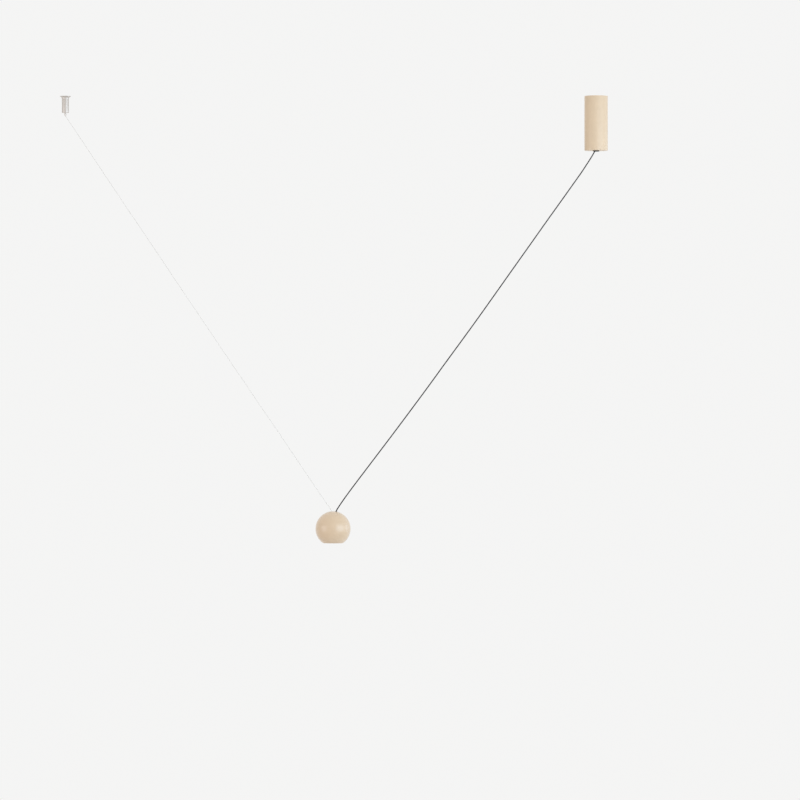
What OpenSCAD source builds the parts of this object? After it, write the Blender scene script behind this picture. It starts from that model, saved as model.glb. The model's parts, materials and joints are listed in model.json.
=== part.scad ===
// Pendant lamp: a ball hung from two points of a ceiling.
// A cable comes down from a round canopy and a steel wire from a wire gripper.
// The ball hangs where the two meet.
// The origin is on the ceiling, at the canopy's axis. +X points away from the gripper, +Z up.

/* [Canopy] */
// Outside diameter of the canopy
canopy_d = 60; // [56:1:80]
// Height of the canopy, from the ceiling to its underside
canopy_h = 140; // [134:1:190]
// Wall of the canopy
canopy_wall = 1.5; // [1:0.1:2]
// Thickness of the canopy's floor
canopy_floor = 2.5; // [1.5:0.1:4]
// Radius on the lower edge of the canopy
canopy_edge = 0.8; // [0.3:0.1:1.4]

/* [Ceiling bracket] */
// Thickness of the bracket's plate
bracket_t = 2; // [1.5:0.1:3]
// Height of the bracket's skirt, plate included
skirt_h = 12; // [10:0.5:16]
// Wall of the bracket's skirt
skirt_t = 1.5; // [1:0.1:2]
// Distance between the two ceiling screws
screw_spacing = 38; // [34:0.5:40]
// Diameter of the ceiling screw holes
screw_hole_d = 4.5; // [3.5:0.1:5]
// Bore of the grommet that takes the supply cable
supply_d = 9; // [6:0.5:11]
// Wall of the supply grommet
grommet_wall = 2; // [1.5:0.1:3]
// Height of the grommet's lip under the plate
grommet_lip = 2; // [1:0.1:3]
// Diameter of the screws that hold the canopy on the bracket
set_screw_d = 3; // [2.5:0.1:4]

/* [Driver] */
// Free height for wiring above the terminal block
wiring_h = 8; // [6:0.5:14]
// Width of the terminal block
terminal_w = 26; // [22:1:28]
// Depth of the terminal block
terminal_depth = 14; // [11:0.5:16]
// Height of the terminal block
terminal_h = 16; // [14:0.5:20]
// Number of poles of the terminal block
poles = 3; // [2:1:3]
// Height between the terminal block and the driver
lead_h = 5; // [3:0.5:8]
// Width of the driver's case
driver_w = 36; // [32:1:38]
// Depth of the driver's case, lid included
driver_depth = 24; // [22:1:26]
// Height of the driver's case
driver_h = 64; // [56:1:70]
// Wall of the driver's case
driver_wall = 1.6; // [1.2:0.1:2]
// Thickness of the carrier strip
carrier_t = 1.5; // [1:0.1:2]
// Width of the carrier strip
carrier_w = 26; // [22:1:28]
// Diameter of an insulated lead
lead_d = 1.8; // [1.4:0.1:2.2]

/* [Cable gland] */
// Diameter of the gland's flange
gland_d = 16; // [15:0.5:20]
// Height of the flange under the canopy
gland_flange = 2.5; // [2:0.1:4]
// Diameter of the threaded barrel
barrel_d = 11; // [10:0.5:13]
// Height of the barrel above the flange
barrel_h = 23; // [20:0.5:28]
// Thickness of the lock nut
nut_h = 4; // [3:0.5:6]
// Radius of the curve of the bell mouth
bell_r = 24; // [22:1:26]
// Diameter of the clamp screw
clamp_screw_d = 4; // [3:0.1:5]

/* [Lines] */
// Diameter of the cable
cable_d = 3; // [2:0.1:3.5]
// Diameter of the steel wire
wire_d = 1; // [0.8:0.1:1.5]
// Distance from the ceiling to the point in the ball where the lines end
lamp_drop = 1071.5; // [990:0.5:1160]
// Distance from the canopy's axis to the ball's axis
ball_side = 676.5; // [630:0.5:730]
// Distance from the canopy's axis to the gripper's axis
gripper_span = 1365; // [1280:1:1440]

/* [Wire gripper] */
// Diameter of the flange on the ceiling
flange_d = 28; // [24:0.5:36]
// Height of the flange's flare
flange_h = 7.5; // [6:0.5:10]
// Diameter of the gripper's body
body_d = 18; // [17:0.5:22]
// Distance from the ceiling to the underside of the body
body_drop = 43; // [41:0.5:46]
// Diameter of the spigot that joins the flange and the body
spigot_d = 12; // [10:0.5:13]
// Length of the spigot
spigot_h = 8.5; // [7:0.5:9]
// Diameter of the stud that holds the flange to the ceiling
stud_d = 6; // [4:0.5:7]
// Depth of the stud's hole
stud_h = 11; // [8:0.5:12]
// Diameter of the release plunger
plunger_d = 5; // [4.6:0.1:5.4]
// Travel of the plunger
plunger_travel = 2.5; // [1.5:0.1:4]
// Length of the plunger's nose that stays outside when it is pressed
nose_h = 5.8; // [4.5:0.1:8]
// Diameter of the gripping balls
grip_ball_d = 2.8; // [2.4:0.1:3]
// Number of gripping balls
grip_balls_n = 3; // [3:1:4]
// Diameter of the spring's wire
spring_wire_d = 0.8; // [0.6:0.1:0.9]
// Mean diameter of the spring
spring_d = 5.4; // [5:0.1:5.8]
// Height of the chamber that holds the spring
spring_room = 13; // [11:0.5:14]
// Number of turns of the spring
spring_turns = 7; // [5:0.5:8]

/* [Ball] */
// Diameter of the ball
ball_d = 90; // [82:0.5:110]
// Wall of the ball
ball_wall = 2.5; // [2:0.1:3]
// Width of the ball's flat underside
flat_d = 51.2; // [50.4:0.2:56]
// Width of the rim round the ball's mouth
mouth_rim = 2.1; // [1.5:0.1:2.5]
// Height of the ball's mouth
mouth_h = 8; // [7:0.1:9]
// Distance from the ball's top to the pivot of the lines
pivot_drop = 4; // [3.4:0.1:4.6]
// Distance from the ball's axis to the cable's end
cable_side = 6; // [5.6:0.1:6.3]
// Diameter of the ball end on the wire
wire_end_d = 5; // [4.6:0.1:5.2]
// Thickness of the ball's top, at its axis
crown_h = 11; // [9:0.5:12]

/* [Light engine] */
// Diameter of the heat sink's base
sink_d = 45; // [43:0.5:46]
// Thickness of the heat sink's base
sink_t = 5; // [4:0.5:7]
// Distance from the ball's centre down to the underside of the heat sink
sink_drop = 9; // [8:0.5:10]
// Number of cooling fins
fins = 12; // [8:4:12]
// Thickness of a fin
fin_t = 1.6; // [1.2:0.1:2.4]
// Height of the fins
fin_h = 22; // [14:1:26]
// Outside diameter of the hollow post
post_d = 24; // [23:0.5:26]
// Wall of the hollow post
post_wall = 2.5; // [2:0.1:2.7]
// Thickness of the post's flange
post_flange_t = 3; // [2:0.5:5]
// Diameter of the circle of the post's screws
post_screw_circle = 31; // [30.5:0.5:34]
// Diameter of the machine screws
machine_screw_d = 3; // [2:0.1:3]
// Diameter of the light-emitting board
led_board_d = 30; // [26:0.5:31]
// Thickness of the light-emitting board
led_board_t = 1.6; // [1:0.1:2]
// Diameter of the emitter
emitter_d = 12; // [9:0.5:13]
// Thickness of the emitter
emitter_t = 1.2; // [0.8:0.1:1.6]
// Diameter of the holder of the board
holder_d = 44; // [42:0.5:45]
// Thickness of the holder of the board
holder_t = 4; // [3.6:0.1:5]
// Wall of the reflector
reflector_wall = 1.2; // [0.8:0.1:1.6]
// Thickness of the lens
lens_t = 2; // [1.5:0.1:3]
// Width of the front ring
ring_w = 2.6; // [2:0.1:4]

/* [Hidden] */
$fn = 64;
// Clearance between parts that slide together and stay there
slip_gap = 0.1;
// Clearance between parts that move past each other
run_gap = 0.3;
// Clearance of a plunger in its guide
guide_gap = 0.08;
// Overshoot of a cut past the face that it opens
cut = 1;

// Canopy
canopy_r = canopy_d / 2;
canopy_in_r = canopy_r - canopy_wall;
bracket_r = canopy_in_r - slip_gap;
skirt_in_r = bracket_r - skirt_t;
set_screw_z = -(bracket_t + skirt_h) / 2;
set_screw_in = skirt_in_r - 0.5;
set_screw_out = canopy_r - 0.3;
grommet_r = supply_d / 2 + grommet_wall;
grommet_lip_r = grommet_r + 1.5;

// Driver and terminal block, from the ceiling down
driver_y = 2;
carrier_y = driver_y + driver_depth / 2;
tab_w = 14;
tab_y = sqrt(pow(skirt_in_r, 2) - pow(tab_w / 2, 2)) - slip_gap;
terminal_z = -(bracket_t + grommet_lip + wiring_h);
terminal_low_z = terminal_z - terminal_h;
driver_z = terminal_low_z - lead_h;
driver_low_z = driver_z - driver_h;
lid_t = driver_wall;
pole_pitch = 7;
board_t = 1.6;
board_standoff = 2;
lead_in = 6;
lead_y = carrier_y - terminal_depth / 2;
screw_head_h = 1.8;
clamp_hole_d = 3.2;
driver_front_y = driver_y - driver_depth / 2;
board_back_y = carrier_y - driver_wall - board_standoff;
board_front_y = board_back_y - board_t;
standoff_x = driver_w / 2 - driver_wall - 3;
lid_screw_d = 2.1;
lid_head_d = 4.4;
lid_head_h = 1.1;
lid_screw_h = 6.2;
lid_screw_inset = 5;

// Cable gland
mouth_z = -(canopy_h + gland_flange);
throat_r = cable_d / 2 + run_gap;
bell_mouth_r = gland_d / 2 - 1.8;
bell_h = sqrt(pow(bell_r, 2) - pow(bell_r - (bell_mouth_r - throat_r), 2));
throat_z = mouth_z + bell_h;
barrel_top_z = -canopy_h + barrel_h;
clamp_screw_z = barrel_top_z - clamp_screw_d;
clamp_screw_out = barrel_d / 2 + 2;
nut_r = barrel_d / 2 + 4;
tail_bend_r = bell_r + 1;
tail_drop = bell_h - 2.3;
tail_steps = 6;

// Wire gripper, from the ceiling down
body_r = body_d / 2;
spigot_low_z = -(flange_h + spigot_h);
chamber_r = spigot_d / 2 - 1;
wall_under_guide = 4;
cone_low_z = -body_drop + wall_under_guide;
cone_top_z = spigot_low_z - spring_room;
plunger_r = plunger_d / 2;
guide_r = plunger_r + guide_gap;
cone_slope = 0.15;
cone_low_r = guide_r + 0.1;
cone_top_r = cone_low_r + cone_slope * (cone_top_z - cone_low_z);
grip_ball_r = grip_ball_d / 2;
grip_ball_side = wire_d / 2 + grip_ball_r + 0.05;
cone_r_at_balls = grip_ball_side + (grip_ball_r + 0.08) * sqrt(1 + pow(cone_slope, 2));
grip_ball_z = cone_low_z + (cone_r_at_balls - cone_low_r) / cone_slope;
plunger_bore_r = wire_d / 2 + run_gap;
plunger_tip_z = -body_drop - nose_h - plunger_travel;
collar_top_z = cone_top_z;
collar_t = 1.5;
collar_r = cone_top_r - cone_slope * collar_t - run_gap;
spring_r = spring_d / 2;
spring_steps = 8;
spring_low_z = collar_top_z + spring_wire_d / 2 + slip_gap;
spring_high_z = spigot_low_z - spring_wire_d / 2 - slip_gap;
spring_line = [for (i = [0 : spring_turns * spring_steps]) spring_point(i)];

// Ball, from its own centre
ball_r = ball_d / 2;
ball_in_r = ball_r - ball_wall;
pivot_z = ball_r - pivot_drop;
crown_z = ball_r - crown_h;
flat_drop = sqrt(pow(ball_r, 2) - pow(flat_d / 2, 2));
mouth_top_z = -flat_drop + mouth_h;
mouth_r = flat_d / 2 - mouth_rim;
cable_flare = 16;
bush_in_r = cable_d / 2 + run_gap + 0.1;
bush_wall = 0.8;
bush_low_z = pivot_z - 0.8;
bush_proud = 0.3;
bush_back = 2;
bush_reach = 12;
wire_end_r = wire_end_d / 2;
// The wire's ball end sits under a cone of 45 degrees
seat_r = wire_end_r + slip_gap;
seat_rise = seat_r * (sqrt(2) - 1);
seat_top_r = 0.4;
// Room for the wire where it leaves the ball, also when the ball nods
wire_way_r = wire_d / 2 + run_gap + 0.28 * pivot_drop;

// Light engine, from the ball's centre
sink_low_z = -sink_drop;
sink_top_z = sink_low_z + sink_t;
post_r = post_d / 2;
post_in_r = post_r - post_wall;
post_flange_r = post_screw_circle / 2 + 3;
post_screw_h = 9;
lead_way_r = 4;
holder_low_z = sink_low_z - holder_t;
holder_hole_r = emitter_d / 2 + 1.2;
holder_screw_circle = (led_board_d + holder_d) / 2;
lens_low_z = mouth_top_z - 2.2;
lens_top_z = lens_low_z + lens_t;
ring_r = mouth_r - slip_gap;
ring_in_r = ring_r - ring_w;
ring_low_z = -flat_drop + 0.3;
ferrule_r = cable_d / 2 + 1.6;
ferrule_h = 9;
lamp_cable_top_z = pivot_z - cable_d / 2 - run_gap;
lamp_cable_low_z = crown_z - ferrule_h - 4;
// Room for the screwdriver that reaches the post's screws through the base
driver_way_r = machine_screw_d + 0.2;
// Places of the two cores on the light-emitting board
core_r = cable_d / 5;
core_x = cable_side - 4;
core_y = 2.2;

// Route of the free cable from the gland to the ball, in X and Z
cable_route = [
    [-3.5, -142], [-6, -146.5], [-9.5, -152.5], [-15, -161.5], [-25, -177], [-35.5, -193],
    [-57, -223.5], [-79, -254.5], [-123, -316], [-166.5, -377.5], [-210.5, -439.5], [-254, -501],
    [-298, -563], [-342.5, -624.5], [-387.5, -686], [-432.5, -748], [-478, -809.5], [-524, -871],
    [-571, -933], [-594.5, -964], [-618, -995], [-641, -1026], [-652, -1041.5], [-660.5, -1054],
    [-667, -1064.5], [-670.5, -1071.5]
];

// Route of the free wire from the gripper to the ball, in X and Z
wire_route = [
    [-1365, -51], [-1345.5, -80], [-1312, -130], [-1265.5, -200], [-1198.5, -300],
    [-1131, -400], [-1064, -500], [-996.5, -600], [-929, -700], [-861, -800],
    [-793, -900], [-739, -980], [-705, -1030], [-687.5, -1055], [-676.5, -1071.5]
];

// How far each line leans where it ends in the ball
cable_lean = lean(cable_route[len(cable_route) - 3], cable_route[len(cable_route) - 1]);
wire_lean = lean(wire_route[len(wire_route) - 3], wire_route[len(wire_route) - 1]);

sand = "#dcc8ae";
steel = "#c9c5bd";
nickel = "#b9b2a6";
brass = "#c8a551";
black = "#1d1c1b";
white = "#f1efe9";

// Angle between the vertical and the line from a down to b
function lean(a, b) = atan2(abs(b[0] - a[0]), a[1] - b[1]);

// Points of a plane route, lifted into the XZ plane
function in_plane(route) = [for (p = route) [p[0], 0, p[1]]];

// A smooth curve through points, with one more point between each two
function midpoint(p, i) =
    let (a = p[max(i - 1, 0)], b = p[i], c = p[i + 1], d = p[min(i + 2, len(p) - 1)])
    (9 * (b + c) - (a + d)) / 16;
function smooth(p) = [
    for (i = [0 : len(p) - 1], half = [0, 1])
        if (half == 0) p[i]
        else if (i > 0 && i < len(p) - 2) midpoint(p, i)
        else if (i == 0) (p[0] + p[1]) / 2
        else if (i == len(p) - 2) (p[i] + p[i + 1]) / 2
];

function unit(v) = v / norm(v);
function tangent(p, i) = unit(p[min(i + 1, len(p) - 1)] - p[max(i - 1, 0)]);

// A ring of points round p, square to the direction t. side is never along t.
function ring(p, t, r, sides, side) =
    let (u = unit(cross(t, side)), v = cross(t, u))
    [for (k = [0 : sides - 1]) p + r * (cos(360 * k / sides) * u + sin(360 * k / sides) * v)];

// Rings of a tube along points, with each end rounded to a dome where asked
function tube_rings(p, r, sides, side, domes) =
    let (n = len(p) - 1, first = tangent(p, 0), last = tangent(p, n))
    concat(
        domes[0] ? [for (a = [75, 40]) ring(p[0] - r * sin(a) * first, first, r * cos(a), sides, side)] : [],
        [for (i = [0 : n]) ring(p[i], tangent(p, i), r, sides, side)],
        domes[1] ? [for (a = [40, 75]) ring(p[n] + r * sin(a) * last, last, r * cos(a), sides, side)] : []
    );

// A closed tube along points
module tube(p, r, sides, side = [0, 1, 0], domes = [false, false]) {
    rings = tube_rings(p, r, sides, side, domes);
    n = len(rings);
    flat = [for (one = rings, q = one) q];
    walls = [
        for (i = [0 : n - 2], k = [0 : sides - 1], half = [0, 1])
            let (a = i * sides + k, b = i * sides + (k + 1) % sides)
            half == 0 ? [a, b, b + sides] : [a, b + sides, a + sides]
    ];
    caps = [
        for (k = [1 : sides - 2], end = [0, 1])
            end == 0 ? [0, k + 1, k] : [for (j = [0, k, k + 1]) (n - 1) * sides + j]
    ];
    polyhedron(points = flat, faces = concat(walls, caps));
}

module at_gripper() {
    translate([-gripper_span, 0, 0]) children();
}

module at_ball() {
    translate([-ball_side, 0, -lamp_drop - pivot_z]) children();
}

// A cylinder between two heights, whichever is the lower
module rod(r, z0, z1) {
    translate([0, 0, min(z0, z1)]) cylinder(r = r, h = abs(z1 - z0));
}

// A pan-head screw pointing up: the head's seat is at height 0
module pan_screw(d, length) {
    head_r = 0.95 * d;
    difference() {
        union() {
            cylinder(d = d - 2 * slip_gap, h = length);
            rod(head_r, -screw_head_h, 0);
        }
        translate([0, 0, -screw_head_h]) cube([2 * head_r + cut, 0.25 * d, screw_head_h], center = true);
    }
}

module both_sides(x) {
    for (side = [-1, 1]) translate([side * x, 0, 0]) children();
}

module ceiling_bracket() {
    color(steel) difference() {
        rod(bracket_r, -skirt_h, 0);
        rod(skirt_in_r, -skirt_h - cut, -bracket_t);
        rod(grommet_r + slip_gap / 2, -skirt_h, cut);
        both_sides(screw_spacing / 2) rod(screw_hole_d / 2, -skirt_h, cut);
        carrier_screw_places() rod(machine_screw_d / 2, -skirt_h, cut);
        set_screw_places() rod(set_screw_d / 2 + slip_gap / 2, 0, canopy_r);
    }
}

module supply_grommet() {
    color(black) difference() {
        union() {
            rod(grommet_r, -bracket_t - grommet_lip, 0);
            rod(grommet_lip_r, -bracket_t - grommet_lip, -bracket_t);
        }
        rod(supply_d / 2, -bracket_t - grommet_lip - cut, cut);
    }
}

// The two screws stand across the canopy, along X
module set_screw_places() {
    for (turn = [-90, 90]) translate([0, 0, set_screw_z]) rotate([0, turn, 0]) children();
}

module canopy_shell() {
    color(sand) difference() {
        rotate_extrude() {
            translate([0, -canopy_h + canopy_edge]) square([canopy_r, canopy_h - canopy_edge]);
            translate([0, -canopy_h]) square([canopy_r - canopy_edge, canopy_h]);
            translate([canopy_r - canopy_edge, -canopy_h + canopy_edge]) circle(r = canopy_edge);
        }
        rod(canopy_in_r, -canopy_h + canopy_floor, cut);
        rod(barrel_d / 2 + slip_gap, -canopy_h - cut, 0);
        set_screw_places() rod(set_screw_d / 2 + slip_gap / 2, 0, canopy_r + cut);
    }
}

module canopy_set_screws() {
    socket_d = 0.5 * set_screw_d;
    color(steel) set_screw_places() difference() {
        rod(set_screw_d / 2, set_screw_in, set_screw_out);
        translate([0, 0, set_screw_out - set_screw_d / 2]) cylinder(d = socket_d, h = canopy_r, $fn = 6);
    }
}

module carrier_screw_places() {
    both_sides(tab_w / 4) translate([0, (carrier_y + carrier_t + tab_y) / 2, 0]) children();
}

// The screws that hold the driver come through the strip from behind
module driver_screw_places() {
    for (share = [0.25, 0.75])
        translate([0, carrier_y + carrier_t, driver_z - share * driver_h]) rotate([90, 0, 0]) children();
}

module driver_carrier() {
    carrier_low_z = driver_low_z + 6;
    color(steel) difference() {
        union() {
            translate([-tab_w / 2, carrier_y, -bracket_t - carrier_t])
                cube([tab_w, tab_y - carrier_y, carrier_t]);
            translate([-tab_w / 2, carrier_y, terminal_z]) cube([tab_w, carrier_t, -bracket_t - terminal_z]);
            translate([-carrier_w / 2, carrier_y, carrier_low_z])
                cube([carrier_w, carrier_t, terminal_z - carrier_low_z]);
        }
        carrier_screw_places() rod(machine_screw_d / 2, -bracket_t - carrier_t - cut, 0);
        driver_screw_places() rod(machine_screw_d / 2, -cut, carrier_t + cut);
        terminal_fixing_place() rod(machine_screw_d / 2, -cut, carrier_t + cut);
    }
}

module carrier_screws() {
    color(steel) carrier_screw_places() translate([0, 0, -bracket_t - carrier_t])
        pan_screw(machine_screw_d, bracket_t + carrier_t - slip_gap);
}

// Axis of the screw that holds the terminal block, through the strip from behind
module terminal_fixing_place() {
    translate([0, carrier_y + carrier_t, (terminal_z + terminal_low_z) / 2]) rotate([90, 0, 0]) children();
}

module pole_places() {
    for (i = [0 : poles - 1]) translate([(i - (poles - 1) / 2) * pole_pitch, 0, 0]) children();
}

// The clamp screws stand across the poles, one near the top and one near the bottom
module clamp_places() {
    for (z = [terminal_z - terminal_h / 5, terminal_low_z + terminal_h / 5])
        pole_places() translate([0, carrier_y - terminal_depth, z]) rotate([-90, 0, 0]) children();
}

module terminal_block() {
    clamp_depth = terminal_depth / 2;
    color(white) difference() {
        translate([-terminal_w / 2, carrier_y - terminal_depth, terminal_low_z])
            cube([terminal_w, terminal_depth, terminal_h]);
        pole_places() translate([0, lead_y, 0]) {
            rod(lead_d / 2 + slip_gap, terminal_z - lead_in, cut);
            rod(lead_d / 2 + slip_gap, terminal_low_z - cut, terminal_low_z + lead_in);
        }
        clamp_places() rod(clamp_hole_d / 2, -cut, clamp_depth);
        terminal_fixing_place() rod(machine_screw_d / 2, 0, carrier_t + terminal_depth / 3);
    }
}

module terminal_screws() {
    clamp_length = terminal_depth / 2 - lead_d / 2 - 2 * slip_gap;
    sunk = 1;
    slot = [clamp_hole_d, 0.6, 1.2];
    color(brass) clamp_places() difference() {
        rod(clamp_hole_d / 2 - slip_gap / 2, sunk, clamp_length);
        translate([0, 0, sunk]) cube(slot, center = true);
    }
    color(steel) terminal_fixing_place()
        pan_screw(machine_screw_d, carrier_t + terminal_depth / 3 - slip_gap);
}

// One insulated lead from a pole of the terminal block down into the driver
module mains_lead(pole) {
    translate([(pole - (poles - 1) / 2) * pole_pitch, lead_y, 0])
        rod(lead_d / 2, driver_z - driver_wall - 2, terminal_low_z + lead_in - slip_gap);
}

module live_lead() {
    color("saddlebrown") mains_lead(0);
}

module neutral_lead() {
    color("royalblue") mains_lead(poles - 1);
}

// A block from the driver's corner values: inset from the case on the sides, between two depths
module driver_block(inset, y0, y1) {
    translate([-driver_w / 2 + inset, y0, driver_low_z + inset])
        cube([driver_w - 2 * inset, y1 - y0, driver_h - 2 * inset]);
}

module lid_screw_places() {
    for (z = [driver_z - lid_screw_inset, driver_low_z + lid_screw_inset])
        translate([0, driver_front_y, z]) rotate([-90, 0, 0]) children();
}

module driver_case() {
    lid_boss_r = 3;
    lid_boss_h = 8;
    lid_boss_depth = 6.5;
    color(white) difference() {
        union() {
            difference() {
                driver_block(0, driver_front_y + lid_t, carrier_y);
                driver_block(driver_wall, driver_front_y, carrier_y - driver_wall);
            }
            both_sides(standoff_x) for (z = [driver_z - 10, driver_low_z + 10])
                translate([0, carrier_y - driver_wall / 2, z]) rotate([90, 0, 0])
                    cylinder(r = 2, h = board_standoff + driver_wall / 2);
            for (z = [driver_z - lid_boss_h, driver_low_z + driver_wall / 2])
                translate([-lid_boss_r, driver_front_y + lid_t, z])
                    cube([2 * lid_boss_r, lid_boss_depth, lid_boss_h - driver_wall / 2]);
        }
        both_sides((poles - 1) / 2 * pole_pitch) translate([0, lead_y, 0])
            rod(lead_d / 2 + slip_gap, driver_z - driver_wall - cut, driver_z + cut);
        rod(cable_d / 2 + slip_gap, driver_low_z - cut, driver_low_z + driver_wall + cut);
        driver_screw_places() rod(machine_screw_d / 2, carrier_t - cut, carrier_t + driver_wall + cut);
        lid_screw_places() rod(lid_screw_d / 2 + slip_gap / 2, 0, lid_boss_depth);
    }
}

module driver_lid() {
    color(white) difference() {
        driver_block(0, driver_front_y, driver_front_y + lid_t);
        lid_screw_places() rod(lid_screw_d / 2 + slip_gap, -cut, lid_t + cut);
        lid_screw_places()
            cylinder(r1 = lid_head_d / 2 + slip_gap, r2 = lid_screw_d / 2 + slip_gap, h = lid_head_h);
    }
}

module lid_screws() {
    color(steel) lid_screw_places() difference() {
        union() {
            rod(lid_screw_d / 2, lid_head_h / 2, lid_screw_h);
            cylinder(r1 = lid_head_d / 2, r2 = lid_screw_d / 2, h = lid_head_h);
        }
        cube([0.5, lid_head_d + cut, lid_head_h], center = true);
    }
}

module driver_screws() {
    color(steel) driver_screw_places() pan_screw(machine_screw_d, carrier_t + driver_wall - slip_gap);
}

module driver_board() {
    board_margin = driver_wall + 0.4;
    color("seagreen") driver_block(board_margin, board_front_y, board_back_y);
}

module driver_transformer() {
    core = [18, 12, 17];
    winding_r = 4.8;
    z = (driver_z + driver_low_z) / 2 + 4;
    color("#5a5348") translate([0, board_front_y - core[1] / 2, z]) {
        difference() {
            cube(core, center = true);
            cube([core[0] - 8, core[1] + cut, core[2] - 8], center = true);
        }
        rod(winding_r, -core[2] / 2 + 2, core[2] / 2 - 2);
    }
}

module driver_capacitors() {
    places = [[-9, 14, 4, 12], [9, 14, 4, 12], [9, 50, 3.2, 10], [-10, 50, 2.6, 8]];
    color("midnightblue") for (c = places)
        translate([c[0], board_front_y, driver_z - c[1]]) rotate([90, 0, 0]) difference() {
            cylinder(r = c[2], h = c[3]);
            translate([0, 0, 1.5]) rotate_extrude() translate([c[2], 0]) circle(r = 0.4);
        }
}

// The part of the cable that the canopy holds: round the bell mouth, up the gland and into the driver
function tail_side(drop) = -(tail_bend_r - sqrt(pow(tail_bend_r, 2) - pow(drop, 2)));

module cable_tail() {
    bend = [for (i = [tail_steps : -1 : 0]) let (drop = tail_drop * i / tail_steps)
        [tail_side(drop), 0, throat_z - drop]];
    rise = [[0, 0, (throat_z + driver_low_z) / 2], [0, 0, driver_low_z + driver_wall + 4]];
    color(black) tube(concat(bend, rise), cable_d / 2, 8);
}

module gland_body() {
    flange_edge = 0.8;
    color(black) difference() {
        union() {
            rotate_extrude() {
                translate([0, mouth_z]) square([gland_d / 2 - flange_edge, gland_flange]);
                translate([0, mouth_z + flange_edge]) square([gland_d / 2, gland_flange - flange_edge]);
                translate([gland_d / 2 - flange_edge, mouth_z + flange_edge]) circle(r = flange_edge);
            }
            rod(barrel_d / 2, -canopy_h, barrel_top_z);
        }
        rod(throat_r, throat_z - cut, barrel_top_z + cut);
        rotate_extrude() difference() {
            translate([0, mouth_z - cut]) square([throat_r + bell_r, bell_h + cut]);
            translate([throat_r + bell_r, throat_z]) circle(r = bell_r);
            translate([bell_mouth_r, mouth_z - 2 * cut]) square([bell_r, 2 * cut]);
        }
        translate([0, 0, clamp_screw_z]) rotate([0, 90, 0])
            rod(clamp_screw_d / 2 + slip_gap / 2, 0, barrel_d);
    }
}

module gland_nut() {
    nut_low_z = -canopy_h + canopy_floor;
    color(black) difference() {
        intersection() {
            translate([0, 0, nut_low_z]) cylinder(r = nut_r, h = nut_h, $fn = 6);
            translate([0, 0, nut_low_z]) cylinder(r1 = nut_r + nut_h - 1, r2 = nut_r - 1, h = nut_h);
        }
        rod(barrel_d / 2 + slip_gap / 2, -canopy_h, 0);
    }
}

module gland_screw() {
    color(white) translate([0, 0, clamp_screw_z]) rotate([0, 90, 0]) difference() {
        rod(clamp_screw_d / 2, cable_d / 2 + slip_gap, clamp_screw_out);
        translate([0, 0, clamp_screw_out]) cube([clamp_screw_d + cut, 0.8, 1.6], center = true);
    }
}

module gripper_flange() {
    color(nickel) at_gripper() difference() {
        union() {
            rotate_extrude() difference() {
                translate([0, -flange_h]) square([flange_d / 2, flange_h]);
                translate([body_r + flange_h - 1, -flange_h]) circle(r = flange_h - 1);
            }
            rod(spigot_d / 2, spigot_low_z, -flange_h);
        }
        rod(stud_d / 2, -stud_h, cut);
        rod(wire_d / 2 + run_gap, spigot_low_z - cut, spigot_low_z + 3);
    }
}

module gripper_body() {
    edge = 0.7;
    color(nickel) at_gripper() difference() {
        rotate_extrude() {
            translate([0, -body_drop]) square([body_r - edge, body_drop - flange_h]);
            translate([0, -body_drop + edge]) square([body_r, body_drop - flange_h - edge]);
            translate([body_r - edge, -body_drop + edge]) circle(r = edge);
        }
        rod(spigot_d / 2 + slip_gap / 2, spigot_low_z, 0);
        rod(chamber_r, cone_top_z, 0);
        translate([0, 0, cone_low_z])
            cylinder(r1 = cone_low_r, r2 = cone_top_r, h = cone_top_z - cone_low_z);
        rod(guide_r, -body_drop - cut, 0);
    }
}

module grip_ball_places() {
    for (i = [0 : grip_balls_n - 1]) rotate([0, 0, 90 + 360 * i / grip_balls_n])
        translate([grip_ball_side, 0, grip_ball_z]) children();
}

module gripper_plunger() {
    tip_taper = 3;
    mouth_flare = 1.3;
    color(steel) at_gripper() difference() {
        union() {
            rod(plunger_r, plunger_tip_z + tip_taper, collar_top_z);
            translate([0, 0, plunger_tip_z]) cylinder(r1 = plunger_r - 0.6, r2 = plunger_r, h = tip_taper);
            rod(collar_r, collar_top_z - collar_t, collar_top_z);
        }
        rod(plunger_bore_r, plunger_tip_z - cut, collar_top_z + cut);
        translate([0, 0, plunger_tip_z])
            cylinder(r1 = plunger_bore_r + 0.7, r2 = plunger_bore_r, h = mouth_flare);
        grip_ball_places() rotate([0, 90, 0]) rod(grip_ball_r + slip_gap / 2, -grip_ball_side, plunger_d);
    }
}

module grip_balls() {
    color(steel) at_gripper() grip_ball_places() sphere(r = grip_ball_r);
}

// Middle line of the spring: round the wire, from the plunger's collar up to the spigot
function spring_point(i) =
    let (turn = i / spring_steps, angle = 360 * turn, rise = turn / spring_turns)
    [spring_r * cos(angle), spring_r * sin(angle), spring_low_z + rise * (spring_high_z - spring_low_z)];

// Least distance between points of the spring that are half a turn or more apart
function spring_gap() = min([
    for (i = [0 : len(spring_line) - 1], j = [i + spring_steps / 2 : 1 : len(spring_line) - 1])
        norm(spring_line[i] - spring_line[j])
]) - spring_wire_d;
echo(spring_gap_to_itself = spring_gap());

module gripper_spring() {
    color("silver") at_gripper() tube(spring_line, spring_wire_d / 2, 6, side = [0, 0, 1]);
}

module wire_tail() {
    tail_low_z = plunger_tip_z + 1.1;
    color(steel) at_gripper() rod(wire_d / 2, tail_low_z, spigot_low_z + 2.7);
}

module power_cable() {
    color(black) tube(smooth(in_plane(cable_route)), cable_d / 2, 8, domes = [true, true]);
}

module suspension_wire() {
    color(steel) tube(in_plane(wire_route), wire_d / 2, 8, domes = [true, false]);
}

// Places at the two ends of the lines in the ball, turned along the line
module along_cable() {
    translate([cable_side, 0, pivot_z]) rotate([0, cable_lean, 0]) children();
}

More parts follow.
